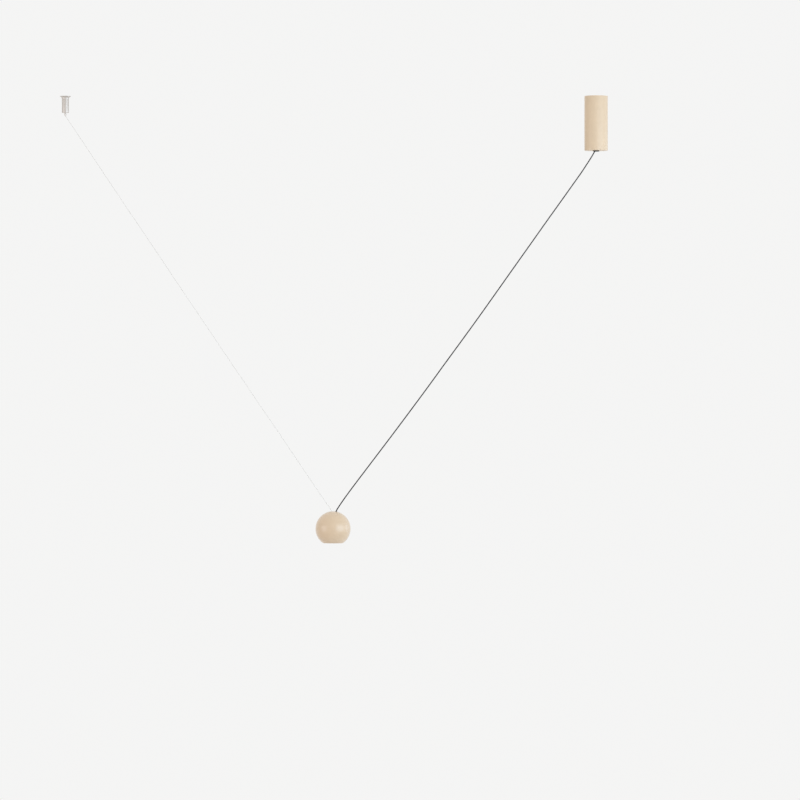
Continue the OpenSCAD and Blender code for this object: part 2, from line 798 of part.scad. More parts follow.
module along_wire() {
    translate([0, 0, pivot_z]) rotate([0, -wire_lean, 0]) children();
}

module wire_end() {
    color(steel) at_ball() difference() {
        translate([0, 0, pivot_z]) sphere(r = wire_end_r);
        along_wire() rod(wire_d / 2 + slip_gap / 2, -0.4, wire_end_d);
    }
}

// A leaning cone from the pivot up past the ball's surface
module flare(r, angle, h) {
    cylinder(r1 = r, r2 = r + h * tan(angle), h = h);
}

module bush_way(r) {
    intersection() {
        along_cable() translate([0, 0, -bush_back])
            flare(r - bush_back * tan(cable_flare), cable_flare, bush_reach);
        rod(ball_d, bush_low_z, ball_r + bush_reach);
    }
}

module cable_bush() {
    color(black) at_ball() difference() {
        intersection() {
            bush_way(bush_in_r + bush_wall);
            sphere(r = ball_r + bush_proud);
        }
        along_cable() translate([0, 0, -bush_back])
            flare(bush_in_r - bush_back * tan(cable_flare), cable_flare, bush_reach + cut);
        translate([cable_side, 0, 0]) rod(bush_in_r, 0, pivot_z);
    }
}

module post_screw_places() {
    both_sides(post_screw_circle / 2) children();
}

module ball_shell() {
    post_screw_hole_h = post_screw_h - post_flange_t + 1;
    color(sand) at_ball() difference() {
        sphere(r = ball_r);
        rod(ball_r, -ball_d, -flat_drop);
        intersection() {
            sphere(r = ball_in_r);
            rod(ball_r, mouth_top_z, crown_z);
        }
        rod(mouth_r, -ball_r, mouth_top_z + slip_gap);
        rotate_extrude() polygon([
            [0, crown_z - cut], [seat_r, crown_z - cut], [seat_r, pivot_z + seat_rise],
            [seat_top_r, pivot_z + seat_rise + seat_r - seat_top_r],
            [0, pivot_z + seat_rise + seat_r - seat_top_r]
        ]);
        along_wire() rod(wire_way_r, 0, 3 * pivot_drop);
        bush_way(bush_in_r + bush_wall + slip_gap / 2);
        translate([cable_side, 0, 0]) rod(bush_in_r, crown_z - cut, pivot_z);
        post_screw_places() rod(machine_screw_d / 2, crown_z - cut, crown_z + post_screw_hole_h);
    }
}

module lamp_cable_end() {
    color(black) at_ball() translate([cable_side, 0, 0])
        rod(cable_d / 2, lamp_cable_low_z, lamp_cable_top_z);
}

module cable_ferrule() {
    edge = 0.5;
    color(brass) at_ball() translate([cable_side, 0, crown_z - ferrule_h]) difference() {
        union() {
            translate([0, 0, edge]) cylinder(r = ferrule_r, h = ferrule_h - edge);
            cylinder(r1 = ferrule_r - edge, r2 = ferrule_r, h = edge);
        }
        rod(cable_d / 2 + slip_gap / 2, -cut, ferrule_h + cut);
        for (z = [ferrule_h / 3, 2 * ferrule_h / 3])
            translate([0, 0, z]) rotate_extrude() translate([ferrule_r + 0.3, 0]) circle(r = 0.7);
    }
}

// Two cores come out of the cable's end and run down the post to the board
module led_leads() {
    top = lamp_cable_low_z - slip_gap;
    low = sink_low_z - led_board_t / 2;
    color("firebrick") at_ball() for (side = [-1, 1])
        tube([
            [cable_side, side * 0.7, top], [cable_side, side * 0.9, top - 4],
            [cable_side - 1.5, side * 1.4, top - 9], [cable_side - 3.5, side * 2, sink_top_z + 6],
            [core_x, side * core_y, sink_top_z], [core_x, side * core_y, low]
        ], core_r, 8);
}

module heat_sink() {
    fin_r = sink_d / 2 - 1;
    color("#a9abad") at_ball() difference() {
        union() {
            rod(sink_d / 2, sink_low_z, sink_top_z);
            rod(post_r, sink_top_z, crown_z);
            rod(post_flange_r, crown_z - post_flange_t, crown_z);
            for (i = [0 : fins - 1]) rotate([0, 0, 360 * (i + 0.5) / fins])
                translate([post_r - 1, -fin_t / 2, sink_top_z - 0.5])
                    cube([fin_r - post_r + 1, fin_t, fin_h + 0.5]);
        }
        rod(post_in_r, sink_top_z, crown_z + cut);
        rod(lead_way_r, sink_low_z - cut, crown_z);
        post_screw_places() rod(machine_screw_d / 2, crown_z - post_flange_t - cut, crown_z + cut);
        post_screw_places() rod(driver_way_r, sink_low_z - cut, sink_top_z + fin_h + cut);
        holder_screw_places() rod(machine_screw_d / 2, sink_low_z - cut, sink_low_z + sink_t - 1);
    }
}

module post_screws() {
    color(steel) at_ball() post_screw_places() translate([0, 0, crown_z - post_flange_t])
        pan_screw(machine_screw_d, post_screw_h);
}

module led_board() {
    color("#eceae2") at_ball() difference() {
        rod(led_board_d / 2, sink_low_z - led_board_t, sink_low_z);
        for (side = [-1, 1]) translate([core_x, side * core_y, 0])
            rod(core_r + slip_gap, sink_low_z - led_board_t / 2 - slip_gap, sink_low_z + cut);
    }
}

module led_emitter() {
    emitter_top_z = sink_low_z - led_board_t;
    color("#e8c54a") at_ball() rod(emitter_d / 2, emitter_top_z - emitter_t, emitter_top_z);
}

module holder_screw_places() {
    rotate([0, 0, 90]) both_sides(holder_screw_circle / 2) children();
}

module led_holder() {
    color(white) at_ball() difference() {
        rod(holder_d / 2, holder_low_z, sink_low_z);
        rod(led_board_d / 2 + slip_gap, sink_low_z - led_board_t, sink_low_z + cut);
        rod(holder_hole_r, holder_low_z - cut, sink_low_z);
        holder_screw_places() rod(machine_screw_d / 2, holder_low_z - cut, sink_low_z + cut);
        holder_screw_places() rod(machine_screw_d, holder_low_z - cut, holder_low_z + screw_head_h + 0.2);
    }
}

module holder_screws() {
    color(steel) at_ball() holder_screw_places() translate([0, 0, holder_low_z + screw_head_h + 0.2])
        pan_screw(machine_screw_d, holder_t - screw_head_h + 2);
}

module reflector() {
    rim_t = 1.2;
    throat = holder_hole_r + 0.4;
    mouth = ring_in_r - 0.4;
    flare_h = holder_low_z - lens_top_z;
    color("gainsboro") at_ball() difference() {
        union() {
            translate([0, 0, lens_top_z])
                cylinder(r1 = mouth + reflector_wall, r2 = throat + reflector_wall, h = flare_h);
            rod(mouth_r - 0.6, lens_top_z, lens_top_z + rim_t);
        }
        translate([0, 0, lens_top_z]) cylinder(r1 = mouth, r2 = throat, h = flare_h);
    }
}

module front_lens() {
    edge = 0.4;
    color("#e9eef0") at_ball() {
        rod(ring_r, lens_low_z + edge, lens_top_z);
        translate([0, 0, lens_low_z]) cylinder(r1 = ring_r - edge, r2 = ring_r, h = edge);
    }
}

module front_ring() {
    color(sand) at_ball() difference() {
        rod(ring_r, ring_low_z, lens_low_z);
        rod(ring_in_r, ring_low_z - cut, lens_low_z + cut);
        translate([0, 0, ring_low_z - 0.01])
            cylinder(r1 = ring_in_r + ring_w / 2, r2 = ring_in_r, h = ring_w);
    }
}

ceiling_bracket();
supply_grommet();
canopy_shell();
canopy_set_screws();
driver_carrier();
carrier_screws();
terminal_block();
terminal_screws();
live_lead();
neutral_lead();
driver_case();
driver_lid();
lid_screws();
driver_screws();
driver_board();
driver_transformer();
driver_capacitors();
cable_tail();
gland_body();
gland_nut();
gland_screw();
gripper_flange();
gripper_body();
gripper_plunger();
grip_balls();
gripper_spring();
wire_tail();
power_cable();
suspension_wire();
wire_end();
ball_shell();
cable_bush();
lamp_cable_end();
cable_ferrule();
led_leads();
heat_sink();
post_screws();
led_board();
led_emitter();
led_holder();
holder_screws();
reflector();
front_lens();
front_ring();
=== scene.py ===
import json
import math

import bmesh
import bpy
from bpy.props import FloatProperty, FloatVectorProperty, IntProperty, PointerProperty
from mathutils import Matrix, Vector


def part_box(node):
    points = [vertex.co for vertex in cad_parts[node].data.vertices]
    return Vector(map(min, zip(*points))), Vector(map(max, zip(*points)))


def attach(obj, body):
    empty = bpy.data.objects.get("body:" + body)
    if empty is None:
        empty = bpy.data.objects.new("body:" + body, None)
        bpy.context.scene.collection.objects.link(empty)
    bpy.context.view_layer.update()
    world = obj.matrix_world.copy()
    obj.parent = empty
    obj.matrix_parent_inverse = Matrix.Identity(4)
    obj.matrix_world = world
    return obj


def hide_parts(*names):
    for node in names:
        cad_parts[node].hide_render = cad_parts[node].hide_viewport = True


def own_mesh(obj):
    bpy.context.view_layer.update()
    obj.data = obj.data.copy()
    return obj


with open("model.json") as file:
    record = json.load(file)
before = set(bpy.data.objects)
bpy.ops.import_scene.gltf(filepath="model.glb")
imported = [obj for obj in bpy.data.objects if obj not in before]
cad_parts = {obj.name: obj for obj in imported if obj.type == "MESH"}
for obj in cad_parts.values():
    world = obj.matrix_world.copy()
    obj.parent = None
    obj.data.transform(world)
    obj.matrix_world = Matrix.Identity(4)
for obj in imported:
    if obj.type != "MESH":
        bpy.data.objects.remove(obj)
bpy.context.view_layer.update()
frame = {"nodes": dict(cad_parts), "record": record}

bl_info = {
    "name": "Ball Pendant Lamp",
    "version": (1, 0, 0),
    "blender": (4, 5, 0),
    "location": "View3D > Sidebar > Lamp",
    "description": "Dresses a ball pendant lamp that hangs on a cable and a steel wire",
    "category": "Object",
}

MM = 0.001

# UV map of a tube: the share of a whole turn, and the run in metres
SHEATH_MAP = "UVMap"

# Edges over this angle, in degrees, stay sharp
SHARP = 32

# A ring narrower than this is one point, and points nearer than the weld become one after a cut
NO_WIDTH = 1e-9
WELD = 0.002 * MM

# Fillets of edges that have no size of their own
EDGE = 0.3 * MM
FINE_EDGE = 0.2 * MM

# Gap between pieces that fit closely, and how far a cutter runs past what it cuts
PLAY = 0.05 * MM
OVERRUN = 1 * MM

# Bodies that the pieces ride on
FITTINGS = "ceiling_fittings"
LINES = "hanging_lines"
BALL = "ball"
PLUNGER = "plunger"

# Where each light stands, seen from the point it shines at, and its width and height in metres
LIGHTS = {
    "key_light": ((0.74, -0.67, -0.04), (3.0, 2.0)),
    "fill_light": ((-0.87, -0.49, -0.12), (1.8, 1.6)),
    "rim_light": ((0.966, 0.259, -0.06), (1.0, 1.6)),
}

# Routes of the two lines, in X and Z, in metres
CABLE_ROUTE = [
    (-0.0035, -0.142), (-0.006, -0.1465), (-0.0095, -0.1525), (-0.015, -0.1615), (-0.025, -0.177),
    (-0.0355, -0.193), (-0.057, -0.2235), (-0.079, -0.2545), (-0.123, -0.316), (-0.1665, -0.3775),
    (-0.2105, -0.4395), (-0.254, -0.501), (-0.298, -0.563), (-0.3425, -0.6245), (-0.3875, -0.686),
    (-0.4325, -0.748), (-0.478, -0.8095), (-0.524, -0.871), (-0.571, -0.933), (-0.5945, -0.964),
    (-0.618, -0.995), (-0.641, -1.026), (-0.652, -1.0415), (-0.6605, -1.054), (-0.667, -1.0645),
    (-0.6705, -1.0715),
]
WIRE_ROUTE = [
    (-1.365, -0.051), (-1.3455, -0.08), (-1.312, -0.13), (-1.2655, -0.2), (-1.1985, -0.3),
    (-1.131, -0.4), (-1.064, -0.5), (-0.9965, -0.6), (-0.929, -0.7), (-0.861, -0.8),
    (-0.793, -0.9), (-0.739, -0.98), (-0.705, -1.03), (-0.6875, -1.055), (-0.6765, -1.0715),
]


def box_radius(node):
    """Half the width of a CAD node."""
    low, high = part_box(node)
    return (high.x - low.x) / 2


def box_low(node):
    """Height of a CAD node's underside."""
    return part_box(node)[0].z


def box_axis(node):
    """Point on the ceiling plane over the middle of a CAD node."""
    low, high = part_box(node)
    return Vector(((low.x + high.x) / 2, 0, 0))


def level_hole(node):
    """Height and radius of a level hole that a CAD node fits closely."""
    low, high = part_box(node)
    return (low.z + high.z) / 2, (high.z - low.z) / 2 + PLAY


def length(name, description, default):
    """A property for a size."""
    return FloatProperty(
        name=name, description=description, default=default, min=0, unit="LENGTH", precision=5
    )


def count(name, description, default, least):
    """A property for a number of like details."""
    return IntProperty(name=name, description=description, default=default, min=least)


def colour(name, description, default):
    """A property for a colour."""
    return FloatVectorProperty(
        name=name, description=description, default=default, min=0, max=1, size=3, subtype="COLOR"
    )


def power(name, description, default):
    """A property for the power of a light."""
    return FloatProperty(name=name, description=description, default=default, min=0, unit="POWER")


def place(name, description, default):
    """A property for a point in the studio."""
    return FloatVectorProperty(
        name=name, description=description, default=default, size=3, subtype="TRANSLATION", unit="LENGTH"
    )


class LampSizes(bpy.types.PropertyGroup):
    """Sizes of the pieces that are modelled here"""

    canopy_r: length("Canopy radius", "Outside radius of the canopy", box_radius("canopy_shell"))
    canopy_h: length("Canopy height", "From the ceiling to its underside", -box_low("canopy_shell"))
    canopy_wall: length("Canopy wall", "Wall of the canopy", 1.5 * MM)
    canopy_floor: length("Canopy floor", "Thickness of the canopy's floor", 2.5 * MM)
    canopy_edge: length("Canopy edge", "Radius on the canopy's lower edge", 0.8 * MM)
    set_screw_r: length("Set screw hole", "Radius of the holes for the set screws", 1.55 * MM)
    set_screw_drop: length("Set screw drop", "From the ceiling to the set screws", 7 * MM)
    gland_r: length("Gland radius", "Radius of the gland's flange", box_radius("gland_body"))
    gland_flange: length("Gland flange", "Height of the flange under the canopy", 2.5 * MM)
    gland_edge: length("Gland edge", "Radius on the flange's lower edge", 0.8 * MM)
    barrel_r: length("Barrel radius", "Radius of the gland's barrel", 5.5 * MM)
    barrel_h: length("Barrel height", "Height of the barrel over the flange", 23 * MM)
    throat_r: length("Throat radius", "Radius of the gland's throat", 1.8 * MM)
    bell_mouth_r: length("Bell mouth", "Radius of the gland's mouth", 6.2 * MM)
    bell_r: length("Bell curve", "Radius of the curve of the bell mouth", 24 * MM)
    cable_d: length("Cable", "Diameter of the cable", 3 * MM)
    wire_d: length("Wire", "Diameter of the steel wire", 1 * MM)
    wire_lay: length("Wire lay", "Length in which a strand goes round the wire once", 7.5 * MM)
    wire_strands: count("Strands", "Number of outer strands of the wire", 6, least=3)
    flange_r: length("Gripper flange", "Radius of the gripper's flange", box_radius("gripper_flange"))
    flange_h: length("Flange height", "Height of the gripper's flange", 7.5 * MM)
    body_r: length("Gripper body", "Radius of the gripper's body", box_radius("gripper_body"))
    body_drop: length("Gripper drop", "From the ceiling to the body's underside", -box_low("gripper_body"))
    body_edge: length("Gripper edge", "Radius on the body's lower edge", 0.7 * MM)
    spigot_r: length("Spigot", "Radius of the spigot inside the body", 6 * MM)
    spigot_drop: length("Spigot drop", "From the ceiling to the spigot's end", 16 * MM)
    stud_r: length("Stud", "Radius of the stud's hole", 3 * MM)
    stud_h: length("Stud depth", "Depth of the stud's hole", 11 * MM)
    chamber_r: length("Spring chamber", "Radius of the spring's chamber", 5 * MM)
    chamber_drop: length("Chamber drop", "From the ceiling to the chamber's floor", 29 * MM)
    guide_h: length("Guide", "Height of the plunger's guide under the cone", 4 * MM)
    plunger_r: length("Plunger", "Radius of the plunger", 2.5 * MM)
    plunger_tip: length("Plunger tip", "From the ceiling to the tip", -box_low("gripper_plunger"))
    collar_r: length("Collar", "Radius of the plunger's collar", 3.65 * MM)
    collar_h: length("Collar height", "Height of the plunger's collar", 1.5 * MM)
    wire_bore_r: length("Wire bore", "Radius of the wire's bore in the gripper", 0.8 * MM)
    spring_r: length("Spring", "Mean radius of the spring", 2.7 * MM)
    spring_wire_d: length("Spring wire", "Diameter of the spring's wire", 0.8 * MM)
    spring_turns: count("Spring turns", "Number of turns of the spring", 7, least=3)
    ball_r: length("Ball radius", "Radius of the ball", box_radius("ball_shell"))
    ball_wall: length("Ball wall", "Wall of the ball", 2.5 * MM)
    ball_edge: length("Ball edge", "Radius on the edge of the flat underside", 0.6 * MM)
    crown_h: length("Crown", "Thickness of the ball's top", 11 * MM)
    mouth_rim: length("Mouth rim", "Width of the rim round the ball's mouth", 2.1 * MM)
    mouth_h: length("Mouth height", "Height of the ball's mouth", 8 * MM)
    pivot_drop: length("Pivot drop", "From the ball's top to the end of the lines", 4 * MM)
    seat_r: length("Seat", "Radius of the seat of the wire's ball end", 2.6 * MM)
    wire_way_r: length("Wire way", "Radius of the hole that the wire leaves the ball by", 1.92 * MM)
    bush_way_r: length("Bush way", "Radius of the rubber bush's hole, at the cable's end", 2.75 * MM)
    bush_flare: FloatProperty(
        name="Bush flare", description="Lean of the bush's wall", default=math.radians(16), subtype="ANGLE"
    )
    cable_way_r: length("Cable way", "Radius of the cable's hole in the crown", 1.9 * MM)
    post_screw_r: length("Post screws", "Radius of the holes for the screws of the post", 1.5 * MM)
    ring_w: length("Ring width", "Width of the front ring", 2.6 * MM)
    lens_t: length("Lens", "Thickness of the lens", 2 * MM)
    lens_ridges: count("Lens ridges", "Number of steps of the ridges on the lens", 22, least=4)
    ridge_h: length("Ridge height", "Height of the ridges on the lens", 0.25 * MM)
    facets: count("Facets", "Number of facets round the reflector", 32, least=8)


class LampColours(bpy.types.PropertyGroup):
    """Colours of the finishes"""

    sand: colour("Sand", "Lacquer of the ball", (0.75, 0.57, 0.39))
    # The canopy's sand is the ball's sand paint made lighter: painted light for the extra light on the
    # canopy near the ceiling
    lit_sand: colour("Lit sand", "Powder coat of the canopy", (0.807, 0.629, 0.44))
    black: colour("Black", "Cable sheath, bushing and rubber", (0.009, 0.008, 0.008))
    nickel: colour("Nickel", "Plate of the gripper", (0.59, 0.55, 0.51))
    wire: colour("Wire", "Drawn steel wire", (0.74, 0.73, 0.71))
    steel: colour("Steel", "Screws, spring and gripping balls", (0.68, 0.67, 0.65))
    zinc: colour("Zinc", "Plated sheet of the bracket and the carrier", (0.6, 0.61, 0.6))
    brass: colour("Brass", "Clamp screws and ferrule", (0.72, 0.52, 0.22))
    aluminium: colour("Aluminium", "Heat sink", (0.62, 0.63, 0.64))
    mirror: colour("Mirror", "Coat of the reflector", (0.86, 0.86, 0.85))
    white: colour("White", "Moulded white plastic", (0.82, 0.8, 0.75))
    lens: colour("Lens", "Frosted lens", (0.93, 0.94, 0.93))


class LampStudio(bpy.types.PropertyGroup):
    """Camera, light and backdrop"""

    aim: place("Aim", "Point in the middle of the picture", (-0.5044, 0, -0.7816))
    distance: length("Distance", "From the camera to the plane of the lamp", 12.2)
    eye_drop: length("Eye drop", "From the aim down to the camera", 0.12)
    lens: FloatProperty(name="Lens", description="Focal length in millimetres", default=213.6, min=10)
    backdrop: colour("Backdrop", "Pale colour behind the lamp", (0.91, 0.91, 0.905))
    ambient_high: colour("Light above", "Soft light from above", (0.83, 0.85, 0.85))
    ambient_low: colour("Light below", "Soft light from below", (0.37, 0.315, 0.255))
    middle: place("Middle", "Point that the lights shine at, over the floor's middle", (-0.6, 0, -0.7))
    light_distance: length("Light distance", "From the lights to the middle", 3.0)
    key: power("Key", "Power of the light on the right", 50)
    key_colour: colour("Key colour", "Colour of the light on the right", (0.71, 0.85, 1.0))
    fill: power("Fill", "Power of the light on the left", 14.5)
    fill_colour: colour("Fill colour", "Colour of the light on the left", (1.0, 0.95, 1.0))
    rim: power("Rim", "Power of the light behind on the right", 9)
    rim_colour: colour("Rim colour", "Colour of the light behind on the right", (0.55, 0.75, 1.0))
    floor_drop: length("Floor", "From the ceiling to the floor", 2.5)
    floor_r: length("Floor radius", "Radius of the floor", 1.6)


def lamp_settings(context):
    """The sizes and colours as they are set."""
    return context.scene.lamp_sizes, context.scene.lamp_colours


# Shader building


def add(tree, kind, inputs=(), **settings):
    """A new node with its settings and inputs. An input is a value, or a socket to link from."""
    made = tree.nodes.new(kind)
    for name, value in settings.items():
        setattr(made, name, value)
    for name, value in dict(inputs).items():
        if isinstance(value, bpy.types.NodeSocket):
            tree.links.new(value, made.inputs[name])
        else:
            made.inputs[name].default_value = value
    return made


def math_node(tree, operation, a, b):
    """One operation on two values or sockets."""
    return add(tree, "ShaderNodeMath", {0: a, 1: b}, operation=operation).outputs[0]


def noise(tree, vector, scale, **settings):
    """A cloud of noise, with its detail and distortion as settings."""
    inputs = {name.title(): value for name, value in settings.items()}
    return add(tree, "ShaderNodeTexNoise", {"Vector": vector, "Scale": scale, **inputs}).outputs[0]


def stretch(tree, value, low, high):
    """A value that runs from 0 at low to 1 at high."""
    return add(tree, "ShaderNodeMapRange", {"Value": value, "From Min": low, "From Max": high}).outputs[0]


def object_place(tree):
    """The place on a piece, in metres."""
    return add(tree, "ShaderNodeTexCoord").outputs["Object"]


def new_group(name, inputs, outputs):
    """An empty node group with named number sockets, and its input and output nodes' sockets."""
    tree = bpy.data.node_groups.new(name, "ShaderNodeTree")
    for socket, value in inputs.items():
        made = tree.interface.new_socket(name=socket, in_out="INPUT", socket_type="NodeSocketFloat")
        made.default_value = value
    for socket in outputs:
        tree.interface.new_socket(name=socket, in_out="OUTPUT", socket_type="NodeSocketFloat")
    return tree, add(tree, "NodeGroupInput").outputs, add(tree, "NodeGroupOutput").inputs


def build_grain(name):
    """Fine grain of a coat or a moulding, and slow mottling, both measured in metres."""
    sizes = {"Grain Size": 0.6 * MM, "Mottle Size": 14 * MM}
    tree, given, result = new_group(name, sizes, ["Height", "Mottle"])
    vector = object_place(tree)
    for size, detail, output in (("Grain Size", 3.0, "Height"), ("Mottle Size", 4.0, "Mottle")):
        scale = math_node(tree, "DIVIDE", 1.0, given[size])
        cloud = noise(tree, vector, scale, detail=detail)
        tree.links.new(stretch(tree, cloud, low=0.3, high=0.7), result[output])


def build_lines(name):
    """Fine lines that run round an upright turned piece."""
    inputs = {"Line Width": 0.12 * MM, "Drift": 90.0}
    tree, given, result = new_group(name, inputs, ["Lines"])
    spot = add(tree, "ShaderNodeSeparateXYZ", {0: object_place(tree)}).outputs
    along = math_node(tree, "DIVIDE", spot["Z"], given["Line Width"])
    across = [math_node(tree, "MULTIPLY", spot[axis], given["Drift"]) for axis in "XY"]
    vector = add(tree, "ShaderNodeCombineXYZ", {0: across[0], 1: across[1], 2: along}).outputs[0]
    tree.links.new(noise(tree, vector, 1.0, detail=2.0), result["Lines"])


def build_marks(name):
    """Where hands have polished or dulled a surface."""
    tree, given, result = new_group(name, {"Mark Size": 25 * MM}, ["Marks"])
    scale = math_node(tree, "DIVIDE", 1.0, given["Mark Size"])
    cloud = noise(tree, object_place(tree), scale, detail=5.0, distortion=1.2)
    tree.links.new(stretch(tree, cloud, low=0.38, high=0.68), result["Marks"])


def build_sheath(name):
    """Drawn lines along a sheath, from the turn and the run in its UV map."""
    inputs = {"Line Count": 34.0, "Streak": 60.0}
    tree, given, result = new_group(name, inputs, ["Height", "Streaks"])
    turn_and_run = add(tree, "ShaderNodeUVMap", uv_map=SHEATH_MAP).outputs[0]
    spot = add(tree, "ShaderNodeSeparateXYZ", {0: turn_and_run}).outputs
    turn = math_node(tree, "MULTIPLY", spot["X"], given["Line Count"])
    run = math_node(tree, "MULTIPLY", spot["Y"], given["Streak"])
    vector = add(tree, "ShaderNodeCombineXYZ", {0: turn, 1: run}).outputs[0]
    lines = noise(tree, vector, 1.0, detail=3.0)
    tree.links.new(lines, result["Height"])
    tree.links.new(stretch(tree, lines, low=0.35, high=0.65), result["Streaks"])


GROUPS = {
    "Surface Grain": build_grain,
    "Turned Lines": build_lines,
    "Handling Marks": build_marks,
    "Drawn Sheath": build_sheath,
}


def use_group(tree, name, **values):
    """Places a node group with its own values and returns its outputs. Its first use builds the group."""
    if name not in bpy.data.node_groups:
        GROUPS[name](name)
    inputs = {socket.replace("_", " ").title(): value for socket, value in values.items()}
    return add(tree, "ShaderNodeGroup", inputs, node_tree=bpy.data.node_groups[name]).outputs


def two_tone(tree, mask, base, spread):
    """The base colour made a little darker and lighter by a mask."""
    ramp = add(tree, "ShaderNodeValToRGB", {"Fac": mask})
    for stop, share in zip(ramp.color_ramp.elements, (1 - spread, 1 + spread)):
        stop.color = [min(1.0, c * share) for c in base[:3]] + [1.0]
    return ramp.outputs["Color"]


def shader(name, **plain):
    """A material, its tree and the sockets of its Principled shader, some of which are set."""
    material = bpy.data.materials.new(name)
    material.use_nodes = True
    tree = material.node_tree
    tree.nodes.clear()
    inputs = {socket.replace("_", " "): value for socket, value in plain.items()}
    principled = add(tree, "ShaderNodeBsdfPrincipled", inputs)
    add(tree, "ShaderNodeOutputMaterial", {"Surface": principled.outputs[0]})
    return material, tree, principled.inputs


def vary_roughness(tree, sockets, mask, low, high):
    """Roughness between two values, by a mask."""
    spread = add(tree, "ShaderNodeMapRange", {"Value": mask, "To Min": low, "To Max": high})
    tree.links.new(spread.outputs[0], sockets["Roughness"])


def add_bump(tree, sockets, height, depth, strength):
    """Relief of a depth in metres."""
    bump = add(tree, "ShaderNodeBump", {"Height": height, "Distance": depth, "Strength": strength})
    tree.links.new(bump.outputs[0], sockets["Normal"])


def coated(name, base, grain=0.7 * MM, depth=0.03 * MM, rough=(0.36, 0.46), spread=0.025, lacquer=0.0):
    """Satin powder coat, moulded plastic or rubber: fine grain, slow mottling and handling marks."""
    material, tree, sockets = shader(name, Coat_Weight=lacquer, Coat_Roughness=0.34)
    surface = use_group(tree, "Surface Grain", grain_size=grain)
    marks = use_group(tree, "Handling Marks")
    tree.links.new(two_tone(tree, surface["Mottle"], base, spread), sockets["Base Color"])
    vary_roughness(tree, sockets, marks["Marks"], *rough)
    add_bump(tree, sockets, surface["Height"], depth, strength=0.5)
    return material


def turned_metal(name, base, rough, width=0.12 * MM, depth=0.004 * MM):
    """Metal with fine lines round its axis."""
    material, tree, sockets = shader(name, Metallic=1.0)
    lines = use_group(tree, "Turned Lines", line_width=width)
    marks = use_group(tree, "Handling Marks", mark_size=12 * MM)
    tree.links.new(two_tone(tree, lines["Lines"], base, spread=0.06), sockets["Base Color"])
    vary_roughness(tree, sockets, marks["Marks"], *rough)
    add_bump(tree, sockets, lines["Lines"], depth, strength=0.4)
    return material


def sheathed(name, base):
    """Drawn sheath of a cable."""
    material, tree, sockets = shader(name)
    sheath = use_group(tree, "Drawn Sheath")
    tree.links.new(two_tone(tree, sheath["Streaks"], base, spread=0.2), sockets["Base Color"])
    vary_roughness(tree, sockets, sheath["Streaks"], low=0.38, high=0.5)
    add_bump(tree, sockets, sheath["Height"], depth=0.03 * MM, strength=0.4)
    return material


def frosted(name, base):
    """Frosted clear plastic."""
    material, tree, sockets = shader(name, Transmission_Weight=0.4, IOR=1.49)
    surface = use_group(tree, "Surface Grain", grain_size=0.25 * MM)
    tree.links.new(two_tone(tree, surface["Mottle"], base, spread=0.02), sockets["Base Color"])
    vary_roughness(tree, sockets, surface["Mottle"], low=0.3, high=0.4)
    add_bump(tree, sockets, surface["Height"], depth=0.02 * MM, strength=0.4)
    return material


# Mesh building


def rounded(corners, closed=True):
    """Points of a profile: corners (radius, height, fillet), each rounded by its fillet."""
    steps = 6
    points = []
    for i, (r, z, fillet) in enumerate(corners):
        here = Vector((r, z))
        if not fillet or (not closed and i in (0, len(corners) - 1)):
            points.append(here)
            continue
        back = (Vector(corners[i - 1][:2]) - here).normalized()
        ahead = (Vector(corners[(i + 1) % len(corners)][:2]) - here).normalized()
        half = back.angle(ahead) / 2
        centre = here + (back + ahead).normalized() * (fillet / math.sin(half))
        first = here + back * (fillet / math.tan(half)) - centre
        last = here + ahead * (fillet / math.tan(half)) - centre
        turn = math.atan2(first.x * last.y - first.y * last.x, first.dot(last))
        points += [centre + Matrix.Rotation(turn * k / steps, 2) @ first for k in range(steps + 1)]
    return points


def arc(centre, radius, start, stop, steps):
    """Corners without fillets along an arc, with its angles in degrees."""
    turns = [math.radians(start + (stop - start) * k / steps) for k in range(steps + 1)]
    return [(centre[0] + radius * math.cos(a), centre[1] + radius * math.sin(a), 0) for a in turns]


def shade(piece, sharp):
    """Smooth shading with sharp edges over an angle in degrees."""
    piece.data.polygons.foreach_set("use_smooth", [True] * len(piece.data.polygons))
    piece.data.set_sharp_from_angle(angle=math.radians(sharp))


def finish_mesh(name, bm, at, sharp=SHARP):
    """An object made of a bmesh, placed at a point and shaded."""
    bmesh.ops.recalc_face_normals(bm, faces=bm.faces)
    mesh = bpy.data.meshes.new(name)
    bm.to_mesh(mesh)
    bm.free()
    piece = bpy.data.objects.new(name, mesh)
    piece.location = at
    bpy.context.scene.collection.objects.link(piece)
    shade(piece, sharp)
    return piece


def lathe(name, profile, at, segments=128, closed=True, sharp=SHARP):
    """Spins a profile round the upright axis through a point. Its height is measured from that point."""
    bm = bmesh.new()
    turns = [2 * math.pi * k / segments for k in range(segments)]
    rings = []
    for r, z in profile:
        around = turns if r > NO_WIDTH else turns[:1]
        rings.append([bm.verts.new((r * math.cos(a), r * math.sin(a), z)) for a in around])
    pairs = list(zip(rings, rings[1:])) + ([(rings[-1], rings[0])] if closed else [])
    for one, two in pairs:
        for k in range(segments):
            ends = (one[k % len(one)], one[(k + 1) % len(one)], two[(k + 1) % len(two)], two[k % len(two)])
            bm.faces.new(list(dict.fromkeys(ends)))
    return finish_mesh(name, bm, at, sharp)


def drill(at, direction, reach, r, far_r=None):
    """A round cutter from a point along a direction. It may have another radius at its far end."""
    bm = bmesh.new()
    turn = Vector(direction).to_track_quat("Z", "Y").to_matrix().to_4x4()
    spot = Matrix.Translation(Vector(at)) @ turn @ Matrix.Translation((0, 0, reach / 2))
    bmesh.ops.create_cone(
        bm, cap_ends=True, segments=64, radius1=r, radius2=far_r or r, depth=reach, matrix=spot
    )
    return finish_mesh("cutter", bm, (0, 0, 0))


